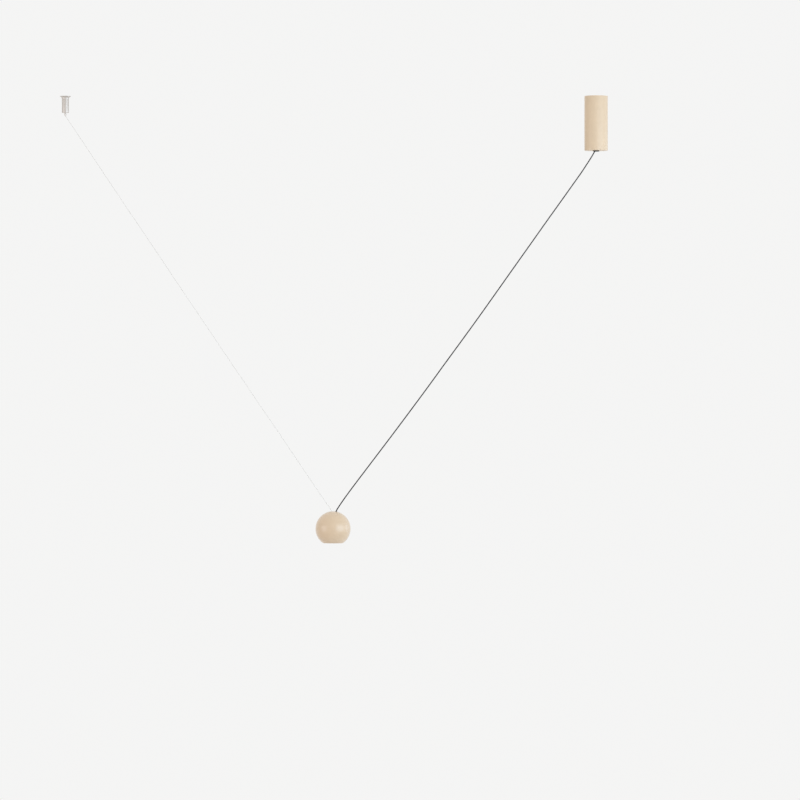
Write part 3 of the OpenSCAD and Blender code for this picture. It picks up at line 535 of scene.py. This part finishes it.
def cut(piece, cutters, sharp=SHARP):
    """Cuts each cutter out of a piece and removes the cutters."""
    for cutter in cutters:
        change = piece.modifiers.new("cut", "BOOLEAN")
        change.object = cutter
        change.operation = "DIFFERENCE"
        change.solver = "EXACT"
    bpy.context.view_layer.update()
    shaped = piece.evaluated_get(bpy.context.evaluated_depsgraph_get())
    bm = bmesh.new()
    bm.from_mesh(shaped.data)
    bmesh.ops.remove_doubles(bm, verts=bm.verts, dist=WELD)
    if not bm.faces or any(not edge.is_manifold for edge in bm.edges):
        raise RuntimeError(f"{piece.name} isn't closed after its cuts")
    piece.modifiers.clear()
    bm.to_mesh(piece.data)
    bm.free()
    for cutter in cutters:
        bpy.data.objects.remove(cutter)
    shade(piece, sharp)


def smooth_line(route, spacing):
    """Evenly spaced points on a smooth curve through a route in the plane of the lamp."""
    knots = [Vector((x, 0, z)) for x, z in route]
    spans = [(b - a).length for a, b in zip(knots, knots[1:])]
    slopes = [(b - a) / span for a, b, span in zip(knots, knots[1:], spans)]
    inner = [
        (slopes[i] * spans[i + 1] + slopes[i + 1] * spans[i]) / (spans[i] + spans[i + 1])
        for i in range(len(spans) - 1)
    ]
    tangents = [slopes[0], *inner, slopes[-1]]
    points = []
    for i, span in enumerate(spans):
        steps = max(1, round(span / spacing))
        for k in range(steps):
            t = k / steps
            points.append(
                (2 * t**3 - 3 * t**2 + 1) * knots[i] + (t**3 - 2 * t**2 + t) * span * tangents[i]
                + (3 * t**2 - 2 * t**3) * knots[i + 1] + (t**3 - t**2) * span * tangents[i + 1]
            )
    return points + [knots[-1]]


def tube_sections(points, radius):
    """Sections of a tube with domed ends: middle, direction, share of the full width, and run so far."""
    sections = []
    run = 0.0
    for i, point in enumerate(points):
        before, after = points[max(i - 1, 0)], points[min(i + 1, len(points) - 1)]
        run += (point - before).length
        sections.append((point, (after - before).normalized(), 1.0, run))
    dome = [math.radians(a) for a in (90, 62, 32)]
    start, out = sections[0][:2]
    end, onward = sections[-1][:2]
    near = [(start - out * radius * math.sin(a), out, math.cos(a), 0.0) for a in dome]
    far = [(end + onward * radius * math.sin(a), onward, math.cos(a), run) for a in reversed(dome)]
    return near + sections + far


def tube(name, points, outline, across, lay=None):
    """A tube with domed ends along points, where outline holds the radius at each side.

    across is a direction that the line never runs along, and lay is the length of one twist.
    """
    sides = len(outline)
    sections = tube_sections(points, max(outline))
    bm = bmesh.new()
    uv = bm.loops.layers.uv.new(SHEATH_MAP)
    rings = []
    for middle, ahead, share, run in sections:
        if share < NO_WIDTH:
            rings.append([bm.verts.new(middle)])
            continue
        side = (across - ahead * ahead.dot(across)).normalized()
        up = ahead.cross(side)
        twist = 2 * math.pi * run / lay if lay else 0.0
        angles = [2 * math.pi * k / sides + twist for k in range(sides)]
        rings.append([
            bm.verts.new(middle + r * share * (math.cos(a) * side + math.sin(a) * up))
            for a, r in zip(angles, outline)
        ])
    for (one, two), near, far in zip(zip(rings, rings[1:]), sections, sections[1:]):
        for k in range(sides):
            corners = [
                (one[k % len(one)], k, near[3]), (one[(k + 1) % len(one)], k + 1, near[3]),
                (two[(k + 1) % len(two)], k + 1, far[3]), (two[k % len(two)], k, far[3]),
            ]
            kept = {vert: (turn, run) for vert, turn, run in corners}
            face = bm.faces.new(list(kept))
            for loop in face.loops:
                turn, run = kept[loop.vert]
                loop[uv].uv = (turn / sides, run)
    return finish_mesh(name, bm, (0, 0, 0), sharp=60)


def dress(piece, material, body, slot, *nodes):
    """Gives a piece its material and its body, and hides the CAD nodes that it stands for. The slot is not
    used.
    """
    piece.data.materials.clear()
    piece.data.materials.append(material)
    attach(piece, body)
    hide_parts(*nodes)


# Steps


class LAMP_OT_stage(bpy.types.Operator):
    """Set up the camera, the soft light and the pale floor"""

    bl_idname = "lamp.stage"
    bl_label = "Stage"

    def execute(self, context):
        studio = context.scene.lamp_studio
        context.scene.view_settings.view_transform = "Standard"
        self.camera(context, studio)
        self.world(context, studio)
        self.light(context, studio, "key_light", studio.key, studio.key_colour)
        self.light(context, studio, "fill_light", studio.fill, studio.fill_colour)
        self.light(context, studio, "rim_light", studio.rim, studio.rim_colour)
        self.floor(studio)
        return {"FINISHED"}

    def camera(self, context, studio):
        """A camera in front of the lamp that looks up a little."""
        camera = bpy.data.objects.new("camera", bpy.data.cameras.new("camera"))
        camera.data.sensor_width = 36
        camera.data.lens = studio.lens
        camera.data.clip_end = 100
        camera.location = Vector(studio.aim) - Vector((0, studio.distance, studio.eye_drop))
        camera.rotation_euler = (math.pi / 2 + math.atan2(studio.eye_drop, studio.distance), 0, 0)
        context.scene.collection.objects.link(camera)
        context.scene.camera = camera

    def world(self, context, studio):
        """Soft light from all sides. The camera, gloss and clear plastic see the backdrop instead."""
        world = bpy.data.worlds.new("studio")
        world.use_nodes = True
        context.scene.world = world
        tree = world.node_tree
        tree.nodes.clear()
        rays = add(tree, "ShaderNodeLightPath").outputs
        seen = math_node(tree, "MAXIMUM", rays["Is Camera Ray"], rays["Is Glossy Ray"])
        seen = math_node(tree, "MAXIMUM", seen, rays["Is Transmission Ray"])
        direction = add(tree, "ShaderNodeTexCoord").outputs["Generated"]
        height = add(tree, "ShaderNodeSeparateXYZ", {0: direction}).outputs["Z"]
        fade = add(tree, "ShaderNodeValToRGB", {"Fac": stretch(tree, height, low=-1.0, high=1.0)})
        for stop, tint in zip(fade.color_ramp.elements, (studio.ambient_low, studio.ambient_high)):
            stop.color = (*tint, 1)
        light = add(tree, "ShaderNodeBackground", {"Color": fade.outputs["Color"], "Strength": 1.0})
        pale = add(tree, "ShaderNodeBackground", {"Color": (*studio.backdrop, 1), "Strength": 1.0})
        both = add(tree, "ShaderNodeMixShader", {0: seen, 1: light.outputs[0], 2: pale.outputs[0]})
        add(tree, "ShaderNodeOutputWorld", {"Surface": both.outputs[0]})

    def light(self, context, studio, name, watts, tint):
        """A soft light that shines at the middle of the lamp."""
        direction, size = LIGHTS[name]
        data = bpy.data.lights.new(name, "AREA")
        data.shape = "RECTANGLE"
        data.size, data.size_y = size
        data.energy = watts
        data.color = tint
        light = bpy.data.objects.new(name, data)
        light.location = Vector(studio.middle) + studio.light_distance * Vector(direction).normalized()
        light.rotation_euler = Vector(direction).to_track_quat("Z", "Y").to_euler()
        context.scene.collection.objects.link(light)

    def floor(self, studio):
        """A round floor that fades out to its rim and is clear from below."""
        bm = bmesh.new()
        bmesh.ops.create_circle(bm, cap_ends=True, segments=96, radius=studio.floor_r)
        floor = finish_mesh("floor", bm, (studio.middle[0], 0, -studio.floor_drop))
        material, tree, sockets = shader("pale_floor", Roughness=0.9)
        surface = use_group(tree, "Surface Grain", mottle_size=0.4)
        tone = two_tone(tree, surface["Mottle"], studio.backdrop, spread=0.01)
        tree.links.new(tone, sockets["Base Color"])
        reach = add(tree, "ShaderNodeVectorMath", {0: object_place(tree)}, operation="LENGTH")
        fade_from, fade_to = 0.4 * studio.floor_r, 0.98 * studio.floor_r
        rim = stretch(tree, reach.outputs["Value"], fade_from, fade_to)
        back = add(tree, "ShaderNodeNewGeometry").outputs["Backfacing"]
        clear = math_node(tree, "MAXIMUM", rim, back)
        tree.links.new(math_node(tree, "SUBTRACT", 1.0, clear), sockets["Alpha"])
        floor.data.materials.append(material)


class LAMP_OT_cable(bpy.types.Operator):
    """Lay the black cable from the canopy to the ball"""

    bl_idname = "lamp.cable"
    bl_label = "Cable"

    def execute(self, context):
        sizes, colours = lamp_settings(context)
        points = smooth_line(CABLE_ROUTE, spacing=2.5 * MM)
        sides = 20
        cable = tube("cable", points, [sizes.cable_d / 2] * sides, across=Vector((0, 1, 0)))
        dress(cable, sheathed("cable_sheath", colours.black), LINES, "black_cable", "power_cable")
        return {"FINISHED"}


class LAMP_OT_wire(bpy.types.Operator):
    """Lay the stranded steel wire from the gripper to the ball"""

    bl_idname = "lamp.wire"
    bl_label = "Wire"

    def execute(self, context):
        sizes, colours = lamp_settings(context)
        points = smooth_line(WIRE_ROUTE, spacing=sizes.wire_lay / 8)
        wire = tube("wire", points, self.strands(sizes), across=Vector((0, 1, 0)), lay=sizes.wire_lay)
        metal = turned_metal("wire_steel", colours.wire, rough=(0.5, 0.6), width=3 * MM, depth=0.002 * MM)
        dress(wire, metal, LINES, "steel_wire", "suspension_wire")
        return {"FINISHED"}

    def strands(self, sizes):
        """Radii round a wire whose outer strands touch each other, with four points on a strand."""
        spread = math.sin(math.pi / sizes.wire_strands)
        middle = sizes.wire_d / 2 / (1 + spread)
        strand = middle * spread
        turns = [math.pi / sizes.wire_strands * k / 2 for k in (-2, -1, 0, 1)]
        outs = [math.sqrt(max(0.0, strand**2 - (middle * math.sin(a)) ** 2)) for a in turns]
        lobe = [middle * math.cos(a) + out for a, out in zip(turns, outs)]
        return lobe * sizes.wire_strands


class LAMP_OT_canopy(bpy.types.Operator):
    """Turn the canopy, closed at the bottom"""

    bl_idname = "lamp.canopy"
    bl_label = "Canopy"

    def execute(self, context):
        sizes, colours = lamp_settings(context)
        r, low = sizes.canopy_r, -sizes.canopy_h
        inner, floor = r - sizes.canopy_wall, low + sizes.canopy_floor
        hole, corner = sizes.barrel_r + 2 * PLAY, 1 * MM
        profile = rounded([
            (r, 0, EDGE), (r, low, sizes.canopy_edge), (hole, low, FINE_EDGE),
            (hole, floor, FINE_EDGE), (inner, floor, corner), (inner, 0, EDGE),
        ])
        canopy = lathe("canopy", profile, box_axis("canopy_shell"), segments=160)
        out = r + 2 * OVERRUN
        cut(canopy, [drill((-out, 0, -sizes.set_screw_drop), (1, 0, 0), 2 * out, sizes.set_screw_r)])
        # The lighter sand of the canopy is painted light, the same paint as the ball made paler
        coat = coated("sand_coat", colours.lit_sand, lacquer=0.25)
        dress(canopy, coat, FITTINGS, "sand_paint", "canopy_shell")
        return {"FINISHED"}


class LAMP_OT_gland(bpy.types.Operator):
    """Turn the black bushing with its bell mouth"""

    bl_idname = "lamp.gland"
    bl_label = "Gland"

    def execute(self, context):
        sizes, colours = lamp_settings(context)
        seat = -sizes.canopy_h
        mouth, top = seat - sizes.gland_flange, seat + sizes.barrel_h
        out = sizes.bell_r - (sizes.bell_mouth_r - sizes.throat_r)
        bell = math.degrees(math.acos(out / sizes.bell_r))
        throat = mouth + sizes.bell_r * math.sin(math.radians(bell))
        curve = arc((sizes.throat_r + sizes.bell_r, throat), sizes.bell_r, 180 + bell, 180, steps=16)
        profile = rounded([
            (sizes.barrel_r, top, EDGE), (sizes.barrel_r, seat, 0), (sizes.gland_r, seat, FINE_EDGE),
            (sizes.gland_r, mouth, sizes.gland_edge), *curve, (sizes.throat_r, top, EDGE),
        ])
        gland = lathe("gland", profile, box_axis("gland_body"), segments=96)
        level, hole = level_hole("gland_screw")
        cut(gland, [drill((0, 0, level), (1, 0, 0), sizes.gland_r, hole)])
        plastic = coated("black_bushing", colours.black, grain=0.4 * MM, rough=(0.42, 0.55), spread=0.1)
        dress(gland, plastic, FITTINGS, "black_plastic", "gland_body")
        return {"FINISHED"}


class LAMP_OT_gripper(bpy.types.Operator):
    """Turn the wire gripper: flange, body and plunger"""

    bl_idname = "lamp.gripper"
    bl_label = "Gripper"

    def execute(self, context):
        sizes, colours = lamp_settings(context)
        plate = turned_metal("nickel_plate", colours.nickel, rough=(0.46, 0.56))
        at = box_axis("gripper_flange")
        flange = lathe("gripper_flange_turned", self.flange(sizes), at, closed=False)
        dress(flange, plate, FITTINGS, "nickel", "gripper_flange")
        body = lathe("gripper_body_turned", self.body(sizes), at)
        dress(body, plate, FITTINGS, "nickel", "gripper_body")
        plunger = lathe("gripper_plunger_turned", self.plunger(sizes), at, segments=96)
        cut(plunger, self.ball_ways(sizes, at))
        dress(plunger, plate, PLUNGER, "nickel", "gripper_plunger")
        return {"FINISHED"}

    def ball_ways(self, sizes, at):
        """Cutters for the holes of the three gripping balls."""
        level, r = level_hole("grip_balls")
        middle = at + Vector((0, 0, level))
        turns = [math.radians(a) for a in (90, 210, 330)]
        return [drill(middle, (math.cos(a), math.sin(a), 0), 2 * sizes.plunger_r, r) for a in turns]

    def flange(self, sizes):
        """The flange flares from the body's width to the ceiling, with a spigot under it."""
        thin_edge, way_h = 1 * MM, 3 * MM
        curve = sizes.flange_h - thin_edge
        middle = (sizes.body_r + curve, -sizes.flange_h)
        start = 180 - math.degrees(math.acos((middle[0] - sizes.flange_r) / curve))
        way, end = sizes.wire_bore_r, -sizes.spigot_drop
        way_top = end + way_h
        return rounded([
            (0, -sizes.stud_h, 0), (sizes.stud_r, -sizes.stud_h, 0), (sizes.stud_r, 0, EDGE),
            (sizes.flange_r, 0, FINE_EDGE), *arc(middle, curve, start, 180, steps=14),
            (sizes.spigot_r, -sizes.flange_h, 0), (sizes.spigot_r, end, EDGE), (way, end, 0),
            (way, way_top, 0), (0, way_top, 0),
        ], closed=False)

    def body(self, sizes):
        """The body has a spring chamber over a cone, and a guide for the plunger."""
        low, top = -sizes.body_drop, -sizes.flange_h
        cone, chamber, shoulder = low + sizes.guide_h, -sizes.chamber_drop, -sizes.spigot_drop
        guide_play, cone_w, edge = 0.08 * MM, 1.6 * MM, 0.25 * MM
        guide = sizes.plunger_r + guide_play
        socket = sizes.spigot_r + PLAY
        return rounded([
            (sizes.body_r, top, edge), (sizes.body_r, low, sizes.body_edge), (guide, low, edge),
            (guide, cone, 0), (guide + 2 * PLAY, cone, 0), (guide + cone_w, chamber, 0),
            (sizes.chamber_r, chamber, 0), (sizes.chamber_r, shoulder, 0), (socket, shoulder, 0),
            (socket, top, 0),
        ])

    def plunger(self, sizes):
        """The plunger has a collar under the spring and a nose that tapers to the wire."""
        r, bore, collar = sizes.plunger_r, sizes.wire_bore_r, sizes.collar_r
        top, tip = -sizes.chamber_drop, -sizes.plunger_tip
        neck = top - sizes.collar_h
        nose_w, nose_h, nose_edge = 0.6 * MM, 3 * MM, 0.6 * MM
        lip_w, lip_h, lip_edge = 0.7 * MM, 1.3 * MM, 0.15 * MM
        return rounded([
            (bore, top, 0), (collar, top, FINE_EDGE), (collar, neck, FINE_EDGE), (r, neck, 0),
            (r, tip + nose_h, nose_edge), (r - nose_w, tip, FINE_EDGE),
            (bore + lip_w, tip, lip_edge), (bore, tip + lip_h, 0),
        ])


class LAMP_OT_spring(bpy.types.Operator):
    """Wind the spring that pushes the gripper's plunger down"""

    bl_idname = "lamp.spring"
    bl_label = "Spring"

    def execute(self, context):
        sizes, colours = lamp_settings(context)
        low, high = (corner.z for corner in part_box("gripper_spring"))
        middle = box_axis("gripper_flange")
        points = self.coil(sizes, middle, low, high)
        sides = 12
        outline = [sizes.spring_wire_d / 2] * sides
        spring = tube("gripper_spring_wound", points, outline, across=Vector((0, 0, 1)))
        steel = turned_metal("spring_steel", colours.steel, rough=(0.22, 0.34), width=0.3 * MM)
        dress(spring, steel, FITTINGS, "screw_steel", "gripper_spring")
        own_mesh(spring)
        return {"FINISHED"}

    def coil(self, sizes, middle, low, high):
        """Points round the wire, from the plunger's collar up to the spigot."""
        steps = 32
        rise = (high - low - sizes.spring_wire_d) / (steps * sizes.spring_turns)
        start = middle + Vector((0, 0, low + sizes.spring_wire_d / 2))
        arm = Vector((sizes.spring_r, 0, 0))
        return [
            start + Matrix.Rotation(2 * math.pi * k / steps, 3, "Z") @ arm + Vector((0, 0, rise * k))
            for k in range(steps * sizes.spring_turns + 1)
        ]


class LAMP_OT_ball(bpy.types.Operator):
    """Turn the ball with its flat underside and drill the ways of the lines"""

    bl_idname = "lamp.ball"
    bl_label = "Ball"

    def execute(self, context):
        sizes, colours = lamp_settings(context)
        low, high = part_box("ball_shell")
        middle = Vector(((low.x + high.x) / 2, 0, high.z - sizes.ball_r))
        profile = self.profile(sizes, low.z - middle.z)
        sharp = 28
        ball = lathe("ball", profile, middle, segments=192, closed=False, sharp=sharp)
        cut(ball, self.ways(sizes, middle.z + sizes.ball_r - sizes.crown_h), sharp)
        coat = coated(
            "sand_lacquer", colours.sand, grain=0.6 * MM, depth=0.02 * MM, rough=(0.3, 0.38), spread=0.02,
            lacquer=0.9,
        )
        dress(ball, coat, BALL, "sand_ball", "ball_shell")
        return {"FINISHED"}

    def ways(self, sizes, crown):
        """Cutters for the lines, which lean, and for what stands upright in the crown."""
        wire_end, wire = self.line_end(WIRE_ROUTE)
        cable_end, cable = self.line_end(CABLE_ROUTE)
        back, reach = 1.5 * MM, 12 * MM
        flare = math.tan(sizes.bush_flare)
        bush_r, bush_mouth = sizes.bush_way_r - back * flare, sizes.bush_way_r + reach * flare
        under = crown - OVERRUN
        low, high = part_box("post_screws")
        screw_h = high.z + OVERRUN - under
        head_r = 2 * sizes.post_screw_r
        return [
            drill(wire_end, wire, reach, sizes.wire_way_r),
            drill(cable_end - back * cable, cable, back + reach, bush_r, bush_mouth),
            drill((cable_end.x, 0, under), (0, 0, 1), cable_end.z - under, sizes.cable_way_r),
            drill((low.x + head_r, 0, under), (0, 0, 1), screw_h, sizes.post_screw_r),
            drill((high.x - head_r, 0, under), (0, 0, 1), screw_h, sizes.post_screw_r),
        ]

    def line_end(self, route):
        """The end of a line in the ball, and its direction there, out of the ball."""
        end, before = (Vector((route[i][0], 0, route[i][1])) for i in (-1, -3))
        return end, (before - end).normalized()

    def profile(self, sizes, flat):
        """The ball down its outside, in at the mouth, and up to the seat of the wire's ball end."""
        r, inner = sizes.ball_r, sizes.ball_r - sizes.ball_wall
        rim = math.sqrt(r**2 - flat**2)
        mouth = rim - sizes.mouth_rim
        shoulder = flat + sizes.mouth_h
        crown = r - sizes.crown_h
        sines = (flat / r, shoulder / inner, crown / inner)
        edge, low, high = (math.degrees(math.asin(sine)) for sine in sines)
        fillet_room = 2
        outside = arc((0, 0), r, 90, edge + fillet_room, steps=72)
        inside = arc((0, 0), inner, low, high, steps=40)
        seat_r = sizes.seat_r
        seat = r - sizes.pivot_drop + seat_r * (math.sqrt(2) - 1)
        tip_r = 0.4 * MM
        tip = seat + seat_r - tip_r
        return rounded([
            (0, r, 0), *outside[1:], (rim, flat, sizes.ball_edge), (mouth, flat, EDGE),
            (mouth, shoulder, 0), *inside, (seat_r, crown, 0), (seat_r, seat, 0),
            (tip_r, tip, 0), (0, tip, 0),
        ], closed=False)


class LAMP_OT_front(bpy.types.Operator):
    """Make the front ring, the ridged lens and the faceted reflector"""

    bl_idname = "lamp.front"
    bl_label = "Light front"

    def execute(self, context):
        sizes, colours = lamp_settings(context)
        low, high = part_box("front_ring")
        at, r = box_axis("front_ring"), box_radius("front_ring")
        ring = lathe("front_ring_turned", self.ring(sizes, r, low.z, high.z), at)
        coat = coated("sand_ring", colours.sand, grain=0.5 * MM, depth=0.02 * MM, rough=(0.32, 0.42))
        dress(ring, coat, BALL, "sand_ball", "front_ring")
        lens = lathe("front_lens_ridged", self.lens(sizes, r, high.z), at, closed=False, sharp=20)
        dress(lens, frosted("frosted_lens", colours.lens), BALL, "frosted_lens", "front_lens")
        cup = lathe("reflector_faceted", self.reflector(), at, segments=sizes.facets, sharp=3)
        mirror = turned_metal(
            "mirror_coat", colours.mirror, rough=(0.06, 0.14), width=0.4 * MM, depth=0.002 * MM
        )
        dress(cup, mirror, BALL, "mirror_coat", "reflector")
        return {"FINISHED"}

    def ring(self, sizes, outer, low, high):
        """A ring that opens downwards."""
        inner = outer - sizes.ring_w
        edge = 0.4 * MM
        return rounded([
            (outer, high, 0), (outer, low, edge), (inner + sizes.ring_w / 2, low, edge),
            (inner, low + sizes.ring_w, edge), (inner, high, 0),
        ])

    def lens(self, sizes, r, low):
        """A disc, plain below, with fine ridges on the side of the light."""
        top = low + sizes.lens_t
        edge, margin = 0.4 * MM, 2 * MM
        number = sizes.lens_ridges
        pitch = (r - margin) / number
        ridges = [(pitch * (number - k), top - sizes.ridge_h * (k % 2), 0) for k in range(number)]
        return rounded([(0, low, 0), (r, low, edge), (r, top, 0), *ridges, (0, top, 0)], closed=False)

    def reflector(self):
        """A flared cup with a plain rim at its foot."""
        low, high = (corner.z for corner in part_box("reflector"))
        rim_r, mouth, throat, wall = box_radius("reflector"), 20.4 * MM, 7.6 * MM, 1.2 * MM
        draw, height, rows = throat - mouth, high - low, 7
        flare = [(mouth + draw * k / rows, low + height * k / rows, 0) for k in range(rows + 1)]
        skirt = low + wall
        outside = mouth + draw * wall / height + wall
        return rounded([
            *flare, (throat + wall, high, 0), (outside, skirt, 0),
            (rim_r, skirt, 0), (rim_r, low, 0),
        ])


class LAMP_OT_fittings(bpy.types.Operator):
    """Give the fittings, screws, leads and inner pieces their finishes"""

    bl_idname = "lamp.fittings"
    bl_label = "Fittings"

    def execute(self, context):
        finishes = self.finishes(context.scene.lamp_colours)
        for row in frame["record"]["subparts"]:
            for slot in frame["nodes"][row["node"]].material_slots:
                slot.material = finishes[row["material_slot"]]
        return {"FINISHED"}

    def finishes(self, colours):
        """A material for each slot, from its colour and the two ends of its roughness."""
        metals = {
            "zinc_steel": (colours.zinc, (0.32, 0.46)),
            "screw_steel": (colours.steel, (0.22, 0.34)),
            "nickel": (colours.nickel, (0.2, 0.3)),
            "steel_wire": (colours.wire, (0.5, 0.6)),
            "brass_screws": (colours.brass, (0.24, 0.36)),
            "raw_aluminium": (colours.aluminium, (0.3, 0.44)),
            "mirror_coat": (colours.mirror, (0.06, 0.14)),
        }
        coats = {
            # The canopy's fitted pieces take the sand paint made lighter, as painted light
            "sand_paint": (colours.lit_sand, (0.36, 0.46)),
            "sand_ball": (colours.sand, (0.3, 0.38)),
            "black_cable": (colours.black, (0.4, 0.52)),
            "black_plastic": (colours.black, (0.42, 0.55)),
            "black_rubber": (colours.black, (0.6, 0.75)),
            "white_plastic": (colours.white, (0.35, 0.5)),
            "brown_insulation": ((0.2, 0.09, 0.04), (0.4, 0.5)),
            "blue_insulation": ((0.03, 0.12, 0.45), (0.4, 0.5)),
            "red_insulation": ((0.5, 0.03, 0.02), (0.4, 0.5)),
            "green_board": ((0.04, 0.22, 0.1), (0.25, 0.35)),
            "white_board": ((0.8, 0.8, 0.76), (0.3, 0.4)),
            "transformer": ((0.1, 0.09, 0.08), (0.5, 0.65)),
            "capacitor_sleeve": ((0.02, 0.03, 0.12), (0.25, 0.35)),
            "phosphor": ((0.85, 0.62, 0.12), (0.35, 0.45)),
        }
        finishes = {"frosted_lens": frosted("fitted_frosted_lens", colours.lens)}
        for slot, (base, rough) in metals.items():
            finishes[slot] = turned_metal("fitted_" + slot, base, rough, width=0.3 * MM)
        for slot, (base, rough) in coats.items():
            finishes[slot] = coated("fitted_" + slot, base, rough=rough, spread=0.06)
        return finishes


class LAMP_PT_panel(bpy.types.Panel):
    """Sizes, colours and steps of the lamp"""

    bl_idname = "LAMP_PT_panel"
    bl_label = "Ball Pendant Lamp"
    bl_space_type = "VIEW_3D"
    bl_region_type = "UI"
    bl_category = "Lamp"

    def draw(self, context):
        for step in STEPS:
            self.layout.operator(step.bl_idname)
        for group in (context.scene.lamp_sizes, context.scene.lamp_colours, context.scene.lamp_studio):
            box = self.layout.box()
            for name in type(group).__annotations__:
                box.prop(group, name)


STEPS = (
    LAMP_OT_stage, LAMP_OT_cable, LAMP_OT_wire, LAMP_OT_fittings, LAMP_OT_canopy, LAMP_OT_gland,
    LAMP_OT_gripper, LAMP_OT_spring, LAMP_OT_ball, LAMP_OT_front,
)
CLASSES = (LampSizes, LampColours, LampStudio, *STEPS, LAMP_PT_panel)


def register():
    for one in CLASSES:
        bpy.utils.register_class(one)
    bpy.types.Scene.lamp_sizes = PointerProperty(type=LampSizes)
    bpy.types.Scene.lamp_colours = PointerProperty(type=LampColours)
    bpy.types.Scene.lamp_studio = PointerProperty(type=LampStudio)


def unregister():
    del bpy.types.Scene.lamp_studio
    del bpy.types.Scene.lamp_colours
    del bpy.types.Scene.lamp_sizes
    for one in reversed(CLASSES):
        bpy.utils.unregister_class(one)


def main():
    """Builds the lamp step by step."""
    register()
    bpy.ops.lamp.stage()
    bpy.ops.lamp.cable()
    bpy.ops.lamp.wire()
    bpy.ops.lamp.fittings()
    bpy.ops.lamp.canopy()
    bpy.ops.lamp.gland()
    bpy.ops.lamp.gripper()
    bpy.ops.lamp.spring()
    bpy.ops.lamp.ball()
    bpy.ops.lamp.front()


if __name__ == "__main__":
    main()
